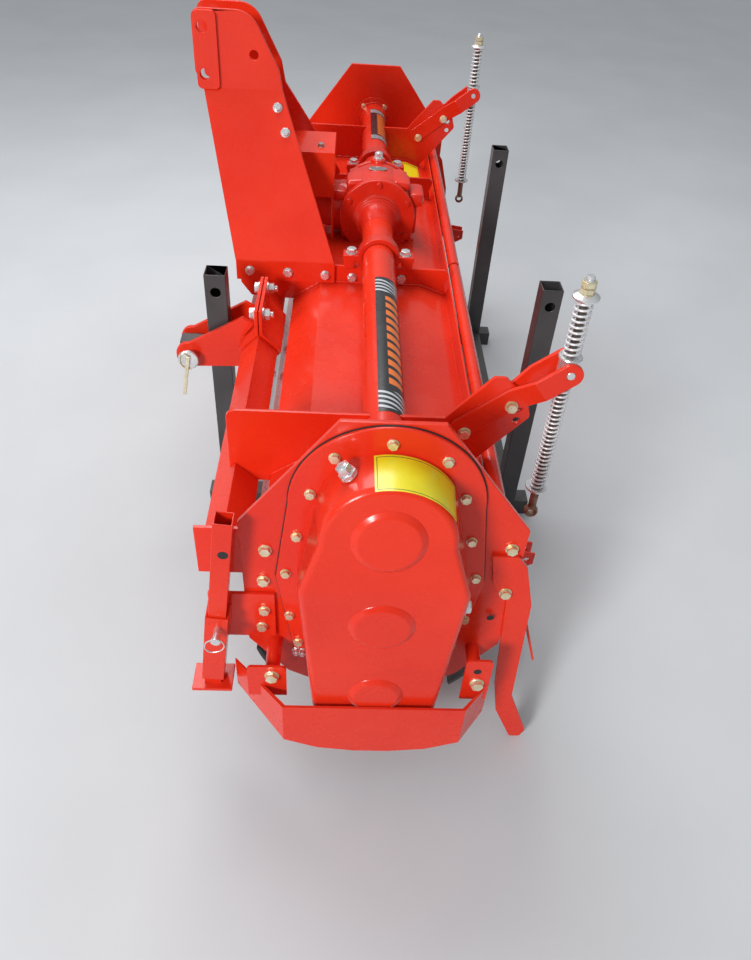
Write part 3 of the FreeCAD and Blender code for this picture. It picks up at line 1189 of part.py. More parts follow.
def tine_shape(hand, disc_thick):
    """One bent tine pointing up at x zero; hand says which way its foot turns.

    Its section is turned about the rotor's axis, so that its foot follows the tine's own circle,
    and the side view, swept back from the way the rotor turns, cuts it out of that ring.
    """
    thick, reach, bend = number("tine_thick"), number("tine_reach"), number("tine_bend")
    root, wide, sweep = number("rotor_disc_dia / 2 - tine_hold"), number("tine_wide"), number("tine_sweep")
    back = disc_thick if hand > 0 else 0
    face, tip = back + hand * thick, back + hand * number("tine_foot")
    middle_x, middle_z = face + hand * bend, reach - thick - bend
    turns = (0, math.pi / 4, math.pi / 2)
    inner, outer = [[FreeCAD.Vector(middle_x - hand * radius * math.cos(turn), 0,
                                    middle_z + radius * math.sin(turn)) for turn in turns]
                    for radius in (bend, bend + thick)]
    corners = [FreeCAD.Vector(x, 0, z) for x, z in (
        (face, root), (back, root), (tip, reach), (tip, reach - thick))]
    edges = [
        Part.makeLine(corners[0], corners[1]),
        Part.makeLine(corners[1], outer[0]),
        Part.Arc(*outer).toShape(),
        Part.makeLine(outer[2], corners[2]),
        Part.makeLine(corners[2], corners[3]),
        Part.makeLine(corners[3], inner[2]),
        Part.Arc(*inner).toShape(),
        Part.makeLine(inner[0], corners[0]),
    ]
    section = Part.Face(Part.Wire(edges))
    axis = FreeCAD.Vector(1, 0, 0)
    section.rotate(FreeCAD.Vector(0, 0, 0), axis, -45)
    ring = section.revolve(FreeCAD.Vector(0, 0, 0), axis, 90)
    heights = (root - 1, (root + reach) * 0.6, reach + 1)
    rear, front = [[FreeCAD.Vector(-number("tine_foot"), half - sweep * share, high)
                    for share, high in zip(shares, heights)]
                   for half, shares in ((-wide / 2, (0, 0.1, 1)), (wide / 2, (0, 0.2, 0.8)))]
    outline = Part.Wire([Part.Arc(*rear).toShape(), Part.makeLine(rear[2], front[2]),
                         Part.Arc(*front).toShape(), Part.makeLine(front[0], rear[0])])
    side_view = Part.Face(outline).extrude(FreeCAD.Vector(3 * number("tine_foot"), 0, 0))
    return ring.common(side_view)


def rotor_bearing():
    at = ("width_inside / 2 + plate_thick", "0", "rotor_high")
    disc = rod("bearing_disc", "bearing_dia / 2", "bearing_flange_thick", at)
    boss = cone("bearing_boss", "bearing_boss_dia / 2", "bearing_boss_dia / 2 - bearing_draft",
                "bearing_out", at)
    subpart(join("rotor_bearing_whole", [disc, boss]), "rotor_bearing_right")


def build():
    side_plates()
    hood()
    front_beam()
    outer_supports()
    centre_supports()
    tube_clamps()
    axle_tubes()
    gearbox()
    shaft_shield()
    mast()
    hitch_brackets()
    transport_stand()
    gear_case()
    case_guard()
    runners()
    parking_legs()
    trailing_board()
    spring_gear()
    rotor()
    rotor_bearing()
    doc.recompute()


def centre_machine():
    """Sets the sheet's origin cells, so that the box of all pieces is centred on X and Y."""
    box = FreeCAD.BoundBox()
    for thing in SUBPARTS:
        box.add(thing.Shape.BoundBox)
    line = {row[0]: index for index, row in enumerate(SIZES, 1)}
    sheet.set("B%d" % line["origin_x"], "%.3f" % -box.Center.x)
    sheet.set("B%d" % line["origin_y"], "%.3f" % -box.Center.y)
    doc.recompute()


def check_and_write():
    for thing in doc.Objects:
        if "Invalid" in thing.State or "Error" in thing.State:
            raise RuntimeError("%s did not build: %s" % (thing.Name, thing.State))
    os.makedirs("parts", exist_ok=True)
    for thing in SUBPARTS:
        if thing.Shape.isNull() or not thing.Shape.isValid() or not thing.Shape.Solids:
            raise RuntimeError("%s has no sound shape" % thing.Label)
    for thing in SUBPARTS:
        thing.Shape.exportStep("parts/%s.step" % thing.Label)


build()
centre_machine()
check_and_write()
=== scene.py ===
import math
import bpy
from mathutils import Matrix, Vector


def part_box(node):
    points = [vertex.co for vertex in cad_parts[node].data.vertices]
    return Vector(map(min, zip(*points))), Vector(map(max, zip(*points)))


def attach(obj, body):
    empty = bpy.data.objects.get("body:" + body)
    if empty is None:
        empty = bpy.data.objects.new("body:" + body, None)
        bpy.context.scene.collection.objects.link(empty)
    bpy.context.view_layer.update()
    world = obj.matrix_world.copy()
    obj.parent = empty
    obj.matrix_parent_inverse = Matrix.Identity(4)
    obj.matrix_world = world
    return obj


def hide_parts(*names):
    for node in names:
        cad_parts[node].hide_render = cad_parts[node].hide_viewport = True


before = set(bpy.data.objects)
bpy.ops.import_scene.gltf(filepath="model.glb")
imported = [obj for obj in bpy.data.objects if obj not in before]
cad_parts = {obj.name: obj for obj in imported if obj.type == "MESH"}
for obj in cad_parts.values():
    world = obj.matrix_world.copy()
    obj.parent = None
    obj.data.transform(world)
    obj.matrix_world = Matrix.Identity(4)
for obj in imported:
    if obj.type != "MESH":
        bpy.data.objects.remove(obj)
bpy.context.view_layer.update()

# Places are in millimetres: x from the middle between the side plates, y from the axle tube and
# z from the floor. spot() turns them into the frame's metres.

# Outer faces of the side plates, runners and parking legs, out from the middle
PLATE_FACE, RUNNER_FACE, LEG_FACE = 994, 1002, 1039.5
# Heights of the axle tube's axis, the rotor's axis and the spring rods' pins
TUBE_HIGH, ROTOR_HIGH, PIN_HIGH = 700, 310, 848
# X of the gearbox and mast, and how far the clamps and hitch brackets stand from it on each side
HEAD, CLAMP_REACH, HITCH_REACH = 210, 305, 462
# The outer supports, out from the middle; half a support's thickness; the mast plates' thickness
SUPPORT, SUPPORT_HALF, MAST_THICK = 790, 4, 10
# The ways that fasteners point
LEFT, RIGHT, FRONT, BACK, UP = (-1, 0, 0), (1, 0, 0), (0, 1, 0), (0, -1, 0), (0, 0, 1)
# Pale brown dust, as a colour
DUST = (0.42, 0.36, 0.31, 1)

plate_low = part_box("side_plate_left")[0]
tube_low, tube_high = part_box("axle_tube_left")
shift = Vector((plate_low.x + PLATE_FACE / 1000, (tube_low.y + tube_high.y) / 2, 0))


def spot(x, y, z):
    """A place in the frame, from millimetres."""
    return Vector((x, y, z)) / 1000 + shift


# Finishes

def link_noise(tree, place, scale, detail, rough=0.5):
    """Noise over a place."""
    noise = tree.nodes.new("ShaderNodeTexNoise")
    noise.inputs["Scale"].default_value = scale
    noise.inputs["Detail"].default_value = detail
    noise.inputs["Roughness"].default_value = rough
    tree.links.new(place, noise.inputs["Vector"])
    return noise.outputs["Fac"]


def link_range(tree, value, low, high, start, end):
    """A value between low and high, carried to between start and end."""
    span = tree.nodes.new("ShaderNodeMapRange")
    span.inputs["From Min"].default_value = low
    span.inputs["From Max"].default_value = high
    span.inputs["To Min"].default_value = start
    span.inputs["To Max"].default_value = end
    tree.links.new(value, span.inputs["Value"])
    return span.outputs["Result"]


def link_mix(tree, share, first, second):
    """A colour between two, each a colour or a socket; share is a socket or a number."""
    mix = tree.nodes.new("ShaderNodeMix")
    mix.data_type = "RGBA"
    colours = [socket for socket in mix.inputs if socket.type == "RGBA"]
    for socket, value in zip([mix.inputs[0]] + colours, (share, first, second)):
        if isinstance(value, bpy.types.NodeSocket):
            tree.links.new(value, socket)
        else:
            socket.default_value = value
    return [socket for socket in mix.outputs if socket.type == "RGBA"][0]


def link_math(tree, work, first, second=0.5):
    """One step of arithmetic on sockets or numbers."""
    maths = tree.nodes.new("ShaderNodeMath")
    maths.operation = work
    for socket, value in zip(maths.inputs, (first, second)):
        if isinstance(value, bpy.types.NodeSocket):
            tree.links.new(value, socket)
        else:
            socket.default_value = value
    return maths.outputs[0]


def finish(name, low, high, gloss, patch, metal=0.0, coat=0.0, grain=(350.0, 0.05), dust=0.0,
           wave=0.0, shine=0.5):
    """Two close colours in soft patches, uneven gloss, fine grain and dust on upward faces."""
    material = bpy.data.materials.new(name)
    material.use_nodes = True
    tree = material.node_tree
    shader = tree.nodes["Principled BSDF"]
    place = tree.nodes.new("ShaderNodeTexCoord").outputs["Object"]
    patches = link_range(tree, link_noise(tree, place, patch, 5.0), 0.35, 0.65, 0.0, 1.0)
    colour = link_mix(tree, patches, low + (1,), high + (1,))
    uneven = link_noise(tree, place, patch * 6, 6.0, 0.6)
    if dust:
        normal = tree.nodes.new("ShaderNodeSeparateXYZ")
        tree.links.new(tree.nodes.new("ShaderNodeNewGeometry").outputs["Normal"], normal.inputs[0])
        facing = link_range(tree, normal.outputs["Z"], 0.3, 1.0, 0.0, dust)
        share = link_math(tree, "MULTIPLY", facing, link_range(tree, uneven, 0.35, 0.75, 0.15, 1.0))
        colour = link_mix(tree, share, colour, DUST)
    tree.links.new(colour, shader.inputs["Base Color"])
    tree.links.new(link_range(tree, uneven, 0.3, 0.7, *gloss), shader.inputs["Roughness"])
    shader.inputs["Metallic"].default_value = metal
    shader.inputs["Coat Weight"].default_value = coat
    shader.inputs["Coat Roughness"].default_value = 0.12
    shader.inputs["Specular IOR Level"].default_value = shine
    bump = tree.nodes.new("ShaderNodeBump")
    bump.inputs["Strength"].default_value = 1.0
    bump.inputs["Distance"].default_value = 0.001
    fine = link_math(tree, "MULTIPLY", link_noise(tree, place, grain[0], 3.0), grain[1])
    height = fine
    if wave:
        swell = link_math(tree, "MULTIPLY", link_noise(tree, place, 9.0, 2.0), wave)
        height = link_math(tree, "ADD", fine, swell)
    tree.links.new(height, bump.inputs["Height"])
    tree.links.new(bump.outputs["Normal"], shader.inputs["Normal"])
    return material


red_paint = finish("red_enamel", (0.70, 0.022, 0.006), (0.80, 0.034, 0.009), (0.22, 0.34), 3.0,
                   coat=0.34, grain=(260.0, 0.04), dust=0.03, wave=1.0, shine=0.2)
cast_red = finish("cast_red", (0.62, 0.018, 0.006), (0.76, 0.030, 0.009), (0.26, 0.40), 6.0,
                  coat=0.4, grain=(420.0, 0.30), dust=0.05, wave=0.8, shine=0.2)
rotor_red = finish("rotor_red", (0.62, 0.012, 0.003), (0.76, 0.022, 0.005), (0.34, 0.5), 5.0,
                   coat=0.1, grain=(420.0, 0.2), dust=0.06, shine=0.2)
yellow_zinc = finish("yellow_zinc", (0.72, 0.60, 0.34), (0.86, 0.80, 0.60), (0.24, 0.42), 60.0,
                     metal=0.7, grain=(900.0, 0.06))
bright_zinc = finish("bright_zinc", (0.68, 0.69, 0.70), (0.84, 0.84, 0.83), (0.20, 0.36), 40.0,
                     metal=0.8, grain=(700.0, 0.06))
spring_zinc = finish("spring_zinc", (0.74, 0.75, 0.77), (0.86, 0.86, 0.86), (0.24, 0.4), 40.0,
                     metal=0.35, grain=(700.0, 0.06))
dull_steel = finish("dull_steel", (0.30, 0.29, 0.28), (0.45, 0.43, 0.41), (0.32, 0.5), 50.0,
                    metal=1.0, grain=(500.0, 0.12))
# A dark steel painted as the shade between the spring coils, for the spring rods' shafts
shade_dark_steel = finish("shade_dark_steel", (0.075, 0.065, 0.055), (0.16, 0.13, 0.105), (0.4, 0.6), 50.0,
                    metal=0.6, grain=(500.0, 0.12))
# Flat black used as painted shade: the shadow gap round the gear case flange and the shade inside
# empty bolt holes
painted_shade_black = finish("painted_shade_black", (0.010, 0.010, 0.010), (0.02, 0.02, 0.02), (0.6, 0.8), 60.0)
rusty_steel = finish("rusty_steel", (0.17, 0.075, 0.04), (0.36, 0.25, 0.18), (0.5, 0.8), 45.0,
                     metal=0.35, grain=(650.0, 0.35))
charcoal_paint = finish("charcoal_enamel", (0.035, 0.033, 0.035), (0.060, 0.055, 0.056),
                        (0.34, 0.5), 7.0, coat=0.25, grain=(380.0, 0.09), dust=0.12)
blade_black = finish("blade_black", (0.020, 0.019, 0.019), (0.045, 0.042, 0.04), (0.32, 0.5), 9.0,
                     metal=0.1, coat=0.2, grain=(420.0, 0.15), dust=0.10)


def film_finish(name, low, high):
    """A glossy film in two close shades: its material, nodes, base colour and the UV's two axes."""
    material = finish(name, low, high, (0.25, 0.4), 20.0, coat=0.3, grain=(300.0, 0.02))
    tree = material.node_tree
    split = tree.nodes.new("ShaderNodeSeparateXYZ")
    tree.links.new(tree.nodes.new("ShaderNodeUVMap").outputs["UV"], split.inputs[0])
    base = tree.nodes["Principled BSDF"].inputs["Base Color"]
    return material, tree, base, split.outputs["X"], split.outputs["Y"]


def edged_film():
    """Plain yellow film with a thin dark line along its edges."""
    shades = (0.80, 0.70, 0.01), (0.86, 0.78, 0.02)
    material, tree, base, along, across = film_finish("yellow_film", *shades)
    within = []
    for widths_in in (3, 4):
        masks = []
        for socket, line_width in ((along, 0.016), (across, 0.008)):
            off_middle = link_math(tree, "ABSOLUTE", link_math(tree, "SUBTRACT", socket, 0.5), 0)
            from_edge = link_math(tree, "SUBTRACT", 0.5, off_middle)
            masks.append(link_math(tree, "GREATER_THAN", from_edge, widths_in * line_width))
        within.append(link_math(tree, "MULTIPLY", *masks))
    line = link_math(tree, "SUBTRACT", *within)
    colour = link_mix(tree, line, base.links[0].from_socket, (0.03, 0.03, 0.03, 1))
    tree.links.new(colour, base)
    return material


yellow_film = edged_film()


def striped_film():
    """Black film with slanting bars, wide and orange in the middle, thin and silver at its ends."""
    shades = (0.012, 0.012, 0.013), (0.022, 0.022, 0.024)
    material, tree, base, along, across = film_finish("striped_film", *shades)
    slant = link_math(tree, "ADD", along, link_math(tree, "MULTIPLY", across, 0.05))

    def bars(count, share, start, end, low, high):
        step = link_math(tree, "FRACT", link_math(tree, "MULTIPLY", slant, count), 0)
        mask = link_math(tree, "LESS_THAN", step, share)
        for socket, work, edge in ((along, "GREATER_THAN", start), (along, "LESS_THAN", end),
                                   (across, "GREATER_THAN", low), (across, "LESS_THAN", high)):
            mask = link_math(tree, "MULTIPLY", mask, link_math(tree, work, socket, edge))
        return mask

    orange, silver = (0.86, 0.19, 0.025, 1), (0.55, 0.57, 0.60, 1)
    middle = bars(16, 0.62, 0.17, 0.83, 0.26, 0.68)
    colour = link_mix(tree, middle, base.links[0].from_socket, orange)
    for start, end in ((0.02, 0.13), (0.87, 0.98)):
        colour = link_mix(tree, bars(34, 0.45, start, end, 0.0, 1.0), colour, silver)
    tree.links.new(colour, base)
    return material


decal_film = striped_film()


# Modelling helpers

def only(*pieces):
    """Selects these pieces alone, the first one active."""
    bpy.ops.object.select_all(action="DESELECT")
    for piece in pieces:
        piece.select_set(True)
    bpy.context.view_layer.objects.active = pieces[0]


def named(name):
    """Names the active piece and its data."""
    piece = bpy.context.object
    piece.name = name
    piece.data.name = name
    return piece


def settle(piece):
    """Puts a piece's place into its mesh."""
    only(piece)
    bpy.ops.object.transform_apply(location=True, rotation=True, scale=True)
    return piece


def modify(piece, kind, **values):
    """Adds one modifier and applies it."""
    only(piece)
    modifier = piece.modifiers.new(kind.title(), kind)
    for key, value in values.items():
        setattr(modifier, key, value)
    bpy.ops.object.modifier_apply(modifier=modifier.name)
    return piece


def ease(piece, width, steps=2, angle=30.0, held=False):
    """Rounds the edges that are sharper than an angle; held edges stop where they would cross."""
    return modify(piece, "BEVEL", width=width, segments=steps, limit_method="ANGLE",
                  angle_limit=math.radians(angle), use_clamp_overlap=held)


def dress(piece, material, body="frame", angle=35.0, node=None):
    """Gives a finished piece its material, its smooth faces and the body that it rides on."""
    settle(piece)
    piece.data.materials.clear()
    piece.data.materials.append(material)
    bpy.ops.object.shade_smooth_by_angle(angle=math.radians(angle))
    modify(piece, "WEIGHTED_NORMAL", keep_sharp=True, weight=80)
    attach(piece, body)
    if node:
        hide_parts(node)
    return piece


X_WAY = {1: "x", -1: "-x"}
TURNS = {"x": (0, math.pi / 2, 0), "-x": (0, -math.pi / 2, 0), "y": (-math.pi / 2, 0, 0),
         "-y": (math.pi / 2, 0, 0), "z": (0, 0, 0)}


def turned(name, rings, at, way="x", sides=48):
    """A turned piece: a disc extruded along its axis and scaled ring by ring, in millimetres."""
    start, radius = rings[0]
    bpy.ops.mesh.primitive_circle_add(vertices=sides, radius=radius / 1000, fill_type="NGON",
                                      location=(0, 0, start / 1000))
    piece = named(name)
    bpy.ops.object.mode_set(mode="EDIT")
    for along, wide in rings[1:]:
        rise = (0, 0, (along - start) / 1000)
        bpy.ops.mesh.extrude_region_move(TRANSFORM_OT_translate={"value": rise})
        bpy.ops.transform.resize(value=(wide / radius, wide / radius, 1))
        start, radius = along, wide
    bpy.ops.mesh.select_all(action="SELECT")
    bpy.ops.mesh.normals_make_consistent(inside=False)
    bpy.ops.object.mode_set(mode="OBJECT")
    settle(piece)
    piece.rotation_euler = TURNS[way]
    piece.location = at
    return settle(piece)


def brick(name, size, at, width, turn=(0, 0, 0)):
    """A block with eased edges, in millimetres, its middle at a point."""
    bpy.ops.mesh.primitive_cube_add(size=1, location=at, rotation=turn)
    piece = named(name)
    piece.scale = Vector(size) / 1000
    settle(piece)
    return ease(piece, width)


def bare_curve(name, kind, radius, roundness):
    """An empty round-sectioned curve in the frame's own axes, and its one spline."""
    bpy.ops.curve.primitive_bezier_curve_add()
    piece = named(name)
    piece.matrix_world = Matrix.Identity(4)
    curve = piece.data
    curve.splines.clear()
    curve.dimensions = "3D"
    curve.bevel_depth = radius / 1000
    curve.bevel_resolution = roundness
    curve.use_fill_caps = True
    return piece, curve.splines.new(kind)


def meshed(name, piece):
    """The curve turned into a mesh."""
    only(piece)
    bpy.ops.object.convert(target="MESH")
    return named(name)


def wire(name, points, radius):
    """A bent round wire through points of the frame, radius in millimetres."""
    piece, spline = bare_curve(name, "BEZIER", radius, 3)
    piece.data.resolution_u = 8
    spline.bezier_points.add(len(points) - 1)
    for knot, point in zip(spline.bezier_points, points):
        knot.co = point
        knot.handle_left_type = knot.handle_right_type = "AUTO"
    return meshed(name, piece)


def ring(name, inner, outer, long, at):
    """A rounded ring round a hole along X, in millimetres, its middle at a point."""
    bpy.ops.mesh.primitive_torus_add(major_radius=(inner + outer) / 2000,
                                     minor_radius=(outer - inner) / 2000,
                                     major_segments=40, minor_segments=12)
    piece = named(name)
    piece.scale = (1, 1, long / (outer - inner))
    settle(piece)
    piece.rotation_euler = TURNS["x"]
    piece.location = at
    return settle(piece)


def weld(name, points, radius=3.0):
    """A rippled bead of weld along straight runs between points of the frame."""
    piece, spline = bare_curve(name, "POLY", radius, 1)
    knots = []
    for start, end in zip(points, points[1:]):
        steps = max(1, round((end - start).length / 0.005))
        knots += [start.lerp(end, step / steps) for step in range(steps)]
    knots.append(points[-1])
    spline.points.add(len(knots) - 1)
    for index, (point, knot) in enumerate(zip(spline.points, knots)):
        point.co = (*knot, 1)
        point.radius = (0.82, 1.0, 1.14)[index % 3]
    return meshed(name, piece)


def round_weld(name, x, radius):
    """A bead of weld round the axle tube."""
    turns = [math.tau * step / 60 for step in range(61)]
    return weld(name, [spot(x, radius * math.cos(turn), TUBE_HIGH + radius * math.sin(turn))
                       for turn in turns])


def joined(name, pieces):
    """One piece out of several."""
    only(*pieces)
    if len(pieces) > 1:
        bpy.ops.object.join()
    return named(name)


def copies(name, model, places):
    """Copies of a model that points up: each place is (point, way, scale)."""
    made = []
    for index, (at, way, scale) in enumerate(places):
        only(model)
        bpy.ops.object.duplicate()
        piece = bpy.context.object
        turn = Vector((0, 0, 1)).rotation_difference(Vector(way)).to_matrix().to_4x4()
        spin = Matrix.Rotation(math.radians(17 + 41 * index), 4, "Z")
        piece.matrix_world = Matrix.Translation(at) @ turn @ spin @ Matrix.Scale(scale, 4)
        settle(piece)
        made.append(piece)
    return joined(name, made)


def cad_copy(node, body="frame", material=red_paint, width=0.0012, held=False):
    """A copy of a CAD node with eased edges, that stands for it."""
    only(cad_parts[node])
    bpy.ops.object.duplicate()
    piece = named(node + "_piece")
    bpy.ops.object.mode_set(mode="EDIT")
    bpy.ops.mesh.select_all(action="SELECT")
    bpy.ops.mesh.remove_doubles(threshold=0.00001)
    bpy.ops.mesh.dissolve_limited(angle_limit=math.radians(1))
    bpy.ops.object.mode_set(mode="OBJECT")
    if width:
        ease(piece, width, held=held)
    return dress(piece, material, body, node=node)


# Fasteners, each modelled once at the floor's origin, pointing up

def hex_head(name, across, high, washer_radius, washer_high):
    """A hexagon head with a chamfered top on its washer, in millimetres."""
    bpy.ops.mesh.primitive_cylinder_add(vertices=6, radius=across / math.sqrt(3) / 1000,
                                        depth=high / 1000,
                                        location=(0, 0, (washer_high + high / 2) / 1000))
    head = named(name + "_head")
    settle(head)
    ease(head, 0.0012, 2, 40)
    washer = turned(name + "_washer", [(0, washer_radius), (washer_high * 0.7, washer_radius),
                                       (washer_high, washer_radius - 0.6)], (0, 0, 0), "z", 32)
    return joined(name, [head, washer])


def threaded_end(name, radius, long):
    """The end of a bolt past its nut, with a few turns of thread."""
    rings = [(0, radius)]
    for turn in range(int(long / 1.8)):
        rings += [(turn * 1.8 + 0.9, radius - 0.7), (turn * 1.8 + 1.8, radius)]
    rings.append((rings[-1][0] + 1.0, radius - 1.2))
    return turned(name, rings, (0, 0, 0), "z", 20)


bolt_model = hex_head("bolt_model", across=18, high=7.5, washer_radius=12, washer_high=2.5)
nut_model = joined("nut_model", [
    hex_head("nut_body", across=18, high=10, washer_radius=12, washer_high=2.5),
    threaded_end("nut_thread", radius=5.8, long=18),
])


def bolts(name, points, way, scale=1.0, model=bolt_model, material=yellow_zinc):
    """Bolts or nuts at points, all pointing one way."""
    piece = copies(name, model, [(spot(*point), way, scale) for point in points])
    return dress(piece, material, angle=30)


# The plates, sheets and tubes of the frame

for node in ("side_plate_left", "side_plate_right", "front_beam", "outer_support_left",
             "outer_support_right", "centre_support_left", "centre_support_right",
             "mast_plate_left", "mast_plate_right", "mast_web", "hitch_bracket_left",
             "hitch_bracket_right", "hitch_clamp_left", "hitch_clamp_right", "runner_left",
             "runner_right", "leg_holder_left", "leg_holder_right", "shaft_shield",
             "spring_levers_left", "spring_levers_right"):
    cad_copy(node)
cad_copy("hood", width=0.0018)
cad_copy("case_guard", held=True)
cad_copy("axle_tube_left", width=0)
cad_copy("axle_tube_right", width=0.001)
for side in ("left", "right"):
    cad_copy("tube_clamp_" + side, material=cast_red, width=0.002)
    cad_copy("parking_leg_" + side, body="parking_leg_" + side)
    cad_copy("stand_frame_" + side, material=charcoal_paint, width=0.0015)
cad_copy("stand_ties", material=charcoal_paint, width=0.0015)
cad_copy("trailing_board", body="trailing_board", width=0.0015)
cad_copy("hinge_rod", material=dull_steel, width=0)
cad_copy("rotor_bearing_right", material=cast_red, width=0.003)
cad_copy("rotor", body="rotor", material=blade_black, width=0)


# The gear case: a flange and a pressed cover with three raised discs

FLANGE_X, FACE_X = -1002, -1110
LEAN, SHOULDER = math.radians(8), 604
ARCH_STEPS = 40


def outline_ring(name, x, arch, sides):
    """A closed ring in a plane across X: a half circle over the tube, then both sides' corners."""
    turns = [math.pi * step / ARCH_STEPS for step in range(ARCH_STEPS + 1)]
    points = [(arch * math.cos(turn), TUBE_HIGH + arch * math.sin(turn)) for turn in turns]
    points += [(-y, z) for y, z in sides] + list(sides)[::-1]
    bpy.ops.mesh.primitive_circle_add(vertices=len(points), radius=1, fill_type="NOTHING")
    piece = named(name)
    for corner, (y, z) in zip(piece.data.vertices, points):
        corner.co = spot(x, y, z)
    return piece


def select(piece, kind, wanted):
    """Selects the vertices or edges of a piece in edit mode whose middle is wanted."""
    bpy.ops.mesh.select_mode(type=kind)
    bpy.ops.mesh.select_all(action="DESELECT")
    bpy.ops.object.mode_set(mode="OBJECT")
    mesh = piece.data
    for item in mesh.vertices if kind == "VERT" else mesh.edges:
        corners = [item.index] if kind == "VERT" else item.vertices
        middle = sum((mesh.vertices[corner].co for corner in corners), Vector()) / len(corners)
        item.select = wanted(middle)
    bpy.ops.object.mode_set(mode="EDIT")


def lean_x(z):
    """X of the cover's face at a height: upright to its shoulder, and leaning back above it."""
    return FACE_X + max(0, z - SHOULDER) * math.tan(LEAN)


def gear_flange(name, front_x, deep, grow, width, material):
    """The flange plate, or the black sheet behind it, painted as the shadow line round the flange,
    which sticks out by its growth.
    """
    sides = [(188 + grow, 520), (150 + grow, 262 - grow), (108 + grow, 234 - grow)]
    back = outline_ring(name, front_x + deep, 164 + grow, sides)
    front = outline_ring(name + "_front", front_x, 164 + grow, sides)
    piece = joined(name, [back, front])
    bpy.ops.object.mode_set(mode="EDIT")
    bpy.ops.mesh.select_all(action="SELECT")
    bpy.ops.mesh.bridge_edge_loops()
    select(piece, "VERT", lambda at: at.x < spot(front_x + 1, 0, 0).x)
    bpy.ops.mesh.edge_face_add()
    bpy.ops.mesh.select_all(action="SELECT")
    bpy.ops.mesh.normals_make_consistent(inside=False)
    bpy.ops.object.mode_set(mode="OBJECT")
    ease(piece, width, 3, 40)
    return dress(piece, material, angle=50)


def gear_cover():
    """Base and rim outlines bridged, the upper face cut to its lean, and the rim rounded."""
    base = outline_ring("cover_base", FLANGE_X, 118, [(150, 535), (122, 256)])
    rim = outline_ring("cover_rim", FACE_X, 109, [(142, SHOULDER), (116, 262)])
    piece = joined("gear_case_shell", [base, rim])
    bpy.ops.object.mode_set(mode="EDIT")
    bpy.ops.mesh.select_all(action="SELECT")
    bpy.ops.mesh.bridge_edge_loops()
    select(piece, "VERT", lambda at: at.x < spot(FACE_X + 1, 0, 0).x)
    bpy.ops.mesh.edge_face_add()
    bpy.ops.mesh.select_all(action="SELECT")
    fold = spot(FACE_X, 0, SHOULDER)
    bpy.ops.mesh.bisect(plane_co=fold, plane_no=(-math.cos(LEAN), 0, math.sin(LEAN)), use_fill=True,
                        clear_outer=True)
    bpy.ops.mesh.select_all(action="SELECT")
    bpy.ops.mesh.normals_make_consistent(inside=False)
    select(piece, "EDGE", lambda at: (at - fold).length < 0.003)
    bpy.ops.mesh.bevel(offset=0.016, segments=5)
    bpy.ops.object.mode_set(mode="OBJECT")
    ease(piece, 0.011, 6, 50)
    return dress(piece, red_paint, angle=60, node="gear_case_cover")


def cover_disc(index, z, radius):
    """A pressed disc that stands out of the cover's face."""
    tilt = LEAN if z > SHOULDER else 0
    rings = [(-1, radius), (0.6, radius - 0.8), (1.8, radius - 2.6), (5.6, radius - 9),
             (6.6, radius - 10.8), (7, radius - 13.5)]
    piece = turned("cover_disc_%d" % index, rings, (0, 0, 0), "-x", 64)
    piece.rotation_euler = (0, tilt, 0)
    piece.location = spot(lean_x(z), 0, z)
    return dress(piece, red_paint, angle=40)


gear_flange("gear_case_flange", FLANGE_X, deep=5.6, grow=0, width=0.0022, material=red_paint)
# A black sheet a little larger than the flange, painted as the shadow gap between the flange and
# the side plate
gear_flange("gear_case_shadow_line", FLANGE_X + 5.4, deep=2.4, grow=1.6, width=0.0004,
            material=painted_shade_black)
gear_cover()
for index, (z, radius) in enumerate(((713, 61), (522, 58), (318, 52))):
    cover_disc(index, z, radius)


def film(piece, material):
    """Finishes a film: its faces turned one way and its finish put on."""
    only(piece)
    bpy.ops.object.mode_set(mode="EDIT")
    bpy.ops.mesh.select_all(action="SELECT")
    bpy.ops.mesh.normals_make_consistent(inside=False)
    bpy.ops.object.mode_set(mode="OBJECT")
    return dress(piece, material, angle=60)


def arch_film(name, material, start_x, end_x, start_radius, end_radius, start_angle, end_angle):
    """A film on a face round about the axle tube; angles in degrees, forwards of the top."""
    bpy.ops.mesh.primitive_grid_add(x_subdivisions=12, y_subdivisions=28, size=1)
    piece = named(name)
    places = piece.data.uv_layers.active.data
    shares = [(corner.co.x + 0.5, corner.co.y + 0.5) for corner in piece.data.vertices]
    for loop, place in zip(piece.data.loops, places):
        place.uv = shares[loop.vertex_index]
    for corner, (along, round_share) in zip(piece.data.vertices, shares):
        radius = start_radius + (end_radius - start_radius) * along
        turn = math.radians(start_angle + (end_angle - start_angle) * round_share)
        corner.co = spot(start_x + (end_x - start_x) * along, radius * math.sin(turn),
                         TUBE_HIGH + radius * math.cos(turn))
    return film(piece, material)


TUBE_FILM = {"start_radius": 40.5, "end_radius": 40.5, "start_angle": 19, "end_angle": -100}
arch_film("case_label", yellow_film, -1008, -1086, start_radius=118.1, end_radius=113.7,
          start_angle=14, end_angle=-62)
arch_film("tube_decal_near", decal_film, -792, -280, **TUBE_FILM)
arch_film("tube_decal_far", decal_film, 640, 940, **TUBE_FILM)


def hood_label():
    """A blank yellow film on the hood, bent with it at its rear fold."""
    bpy.ops.mesh.primitive_grid_add(x_subdivisions=2, y_subdivisions=2, size=1)
    piece = named("hood_label")
    rows = {-0.5: (-152, 612.7), 0.0: (-110, 627.6), 0.5: (-52, 627.6)}
    for corner in piece.data.vertices:
        y, z = rows[round(corner.co.y, 1)]
        corner.co = spot(668 + 196 * corner.co.x, y, z)
    return film(piece, yellow_film)


hood_label()
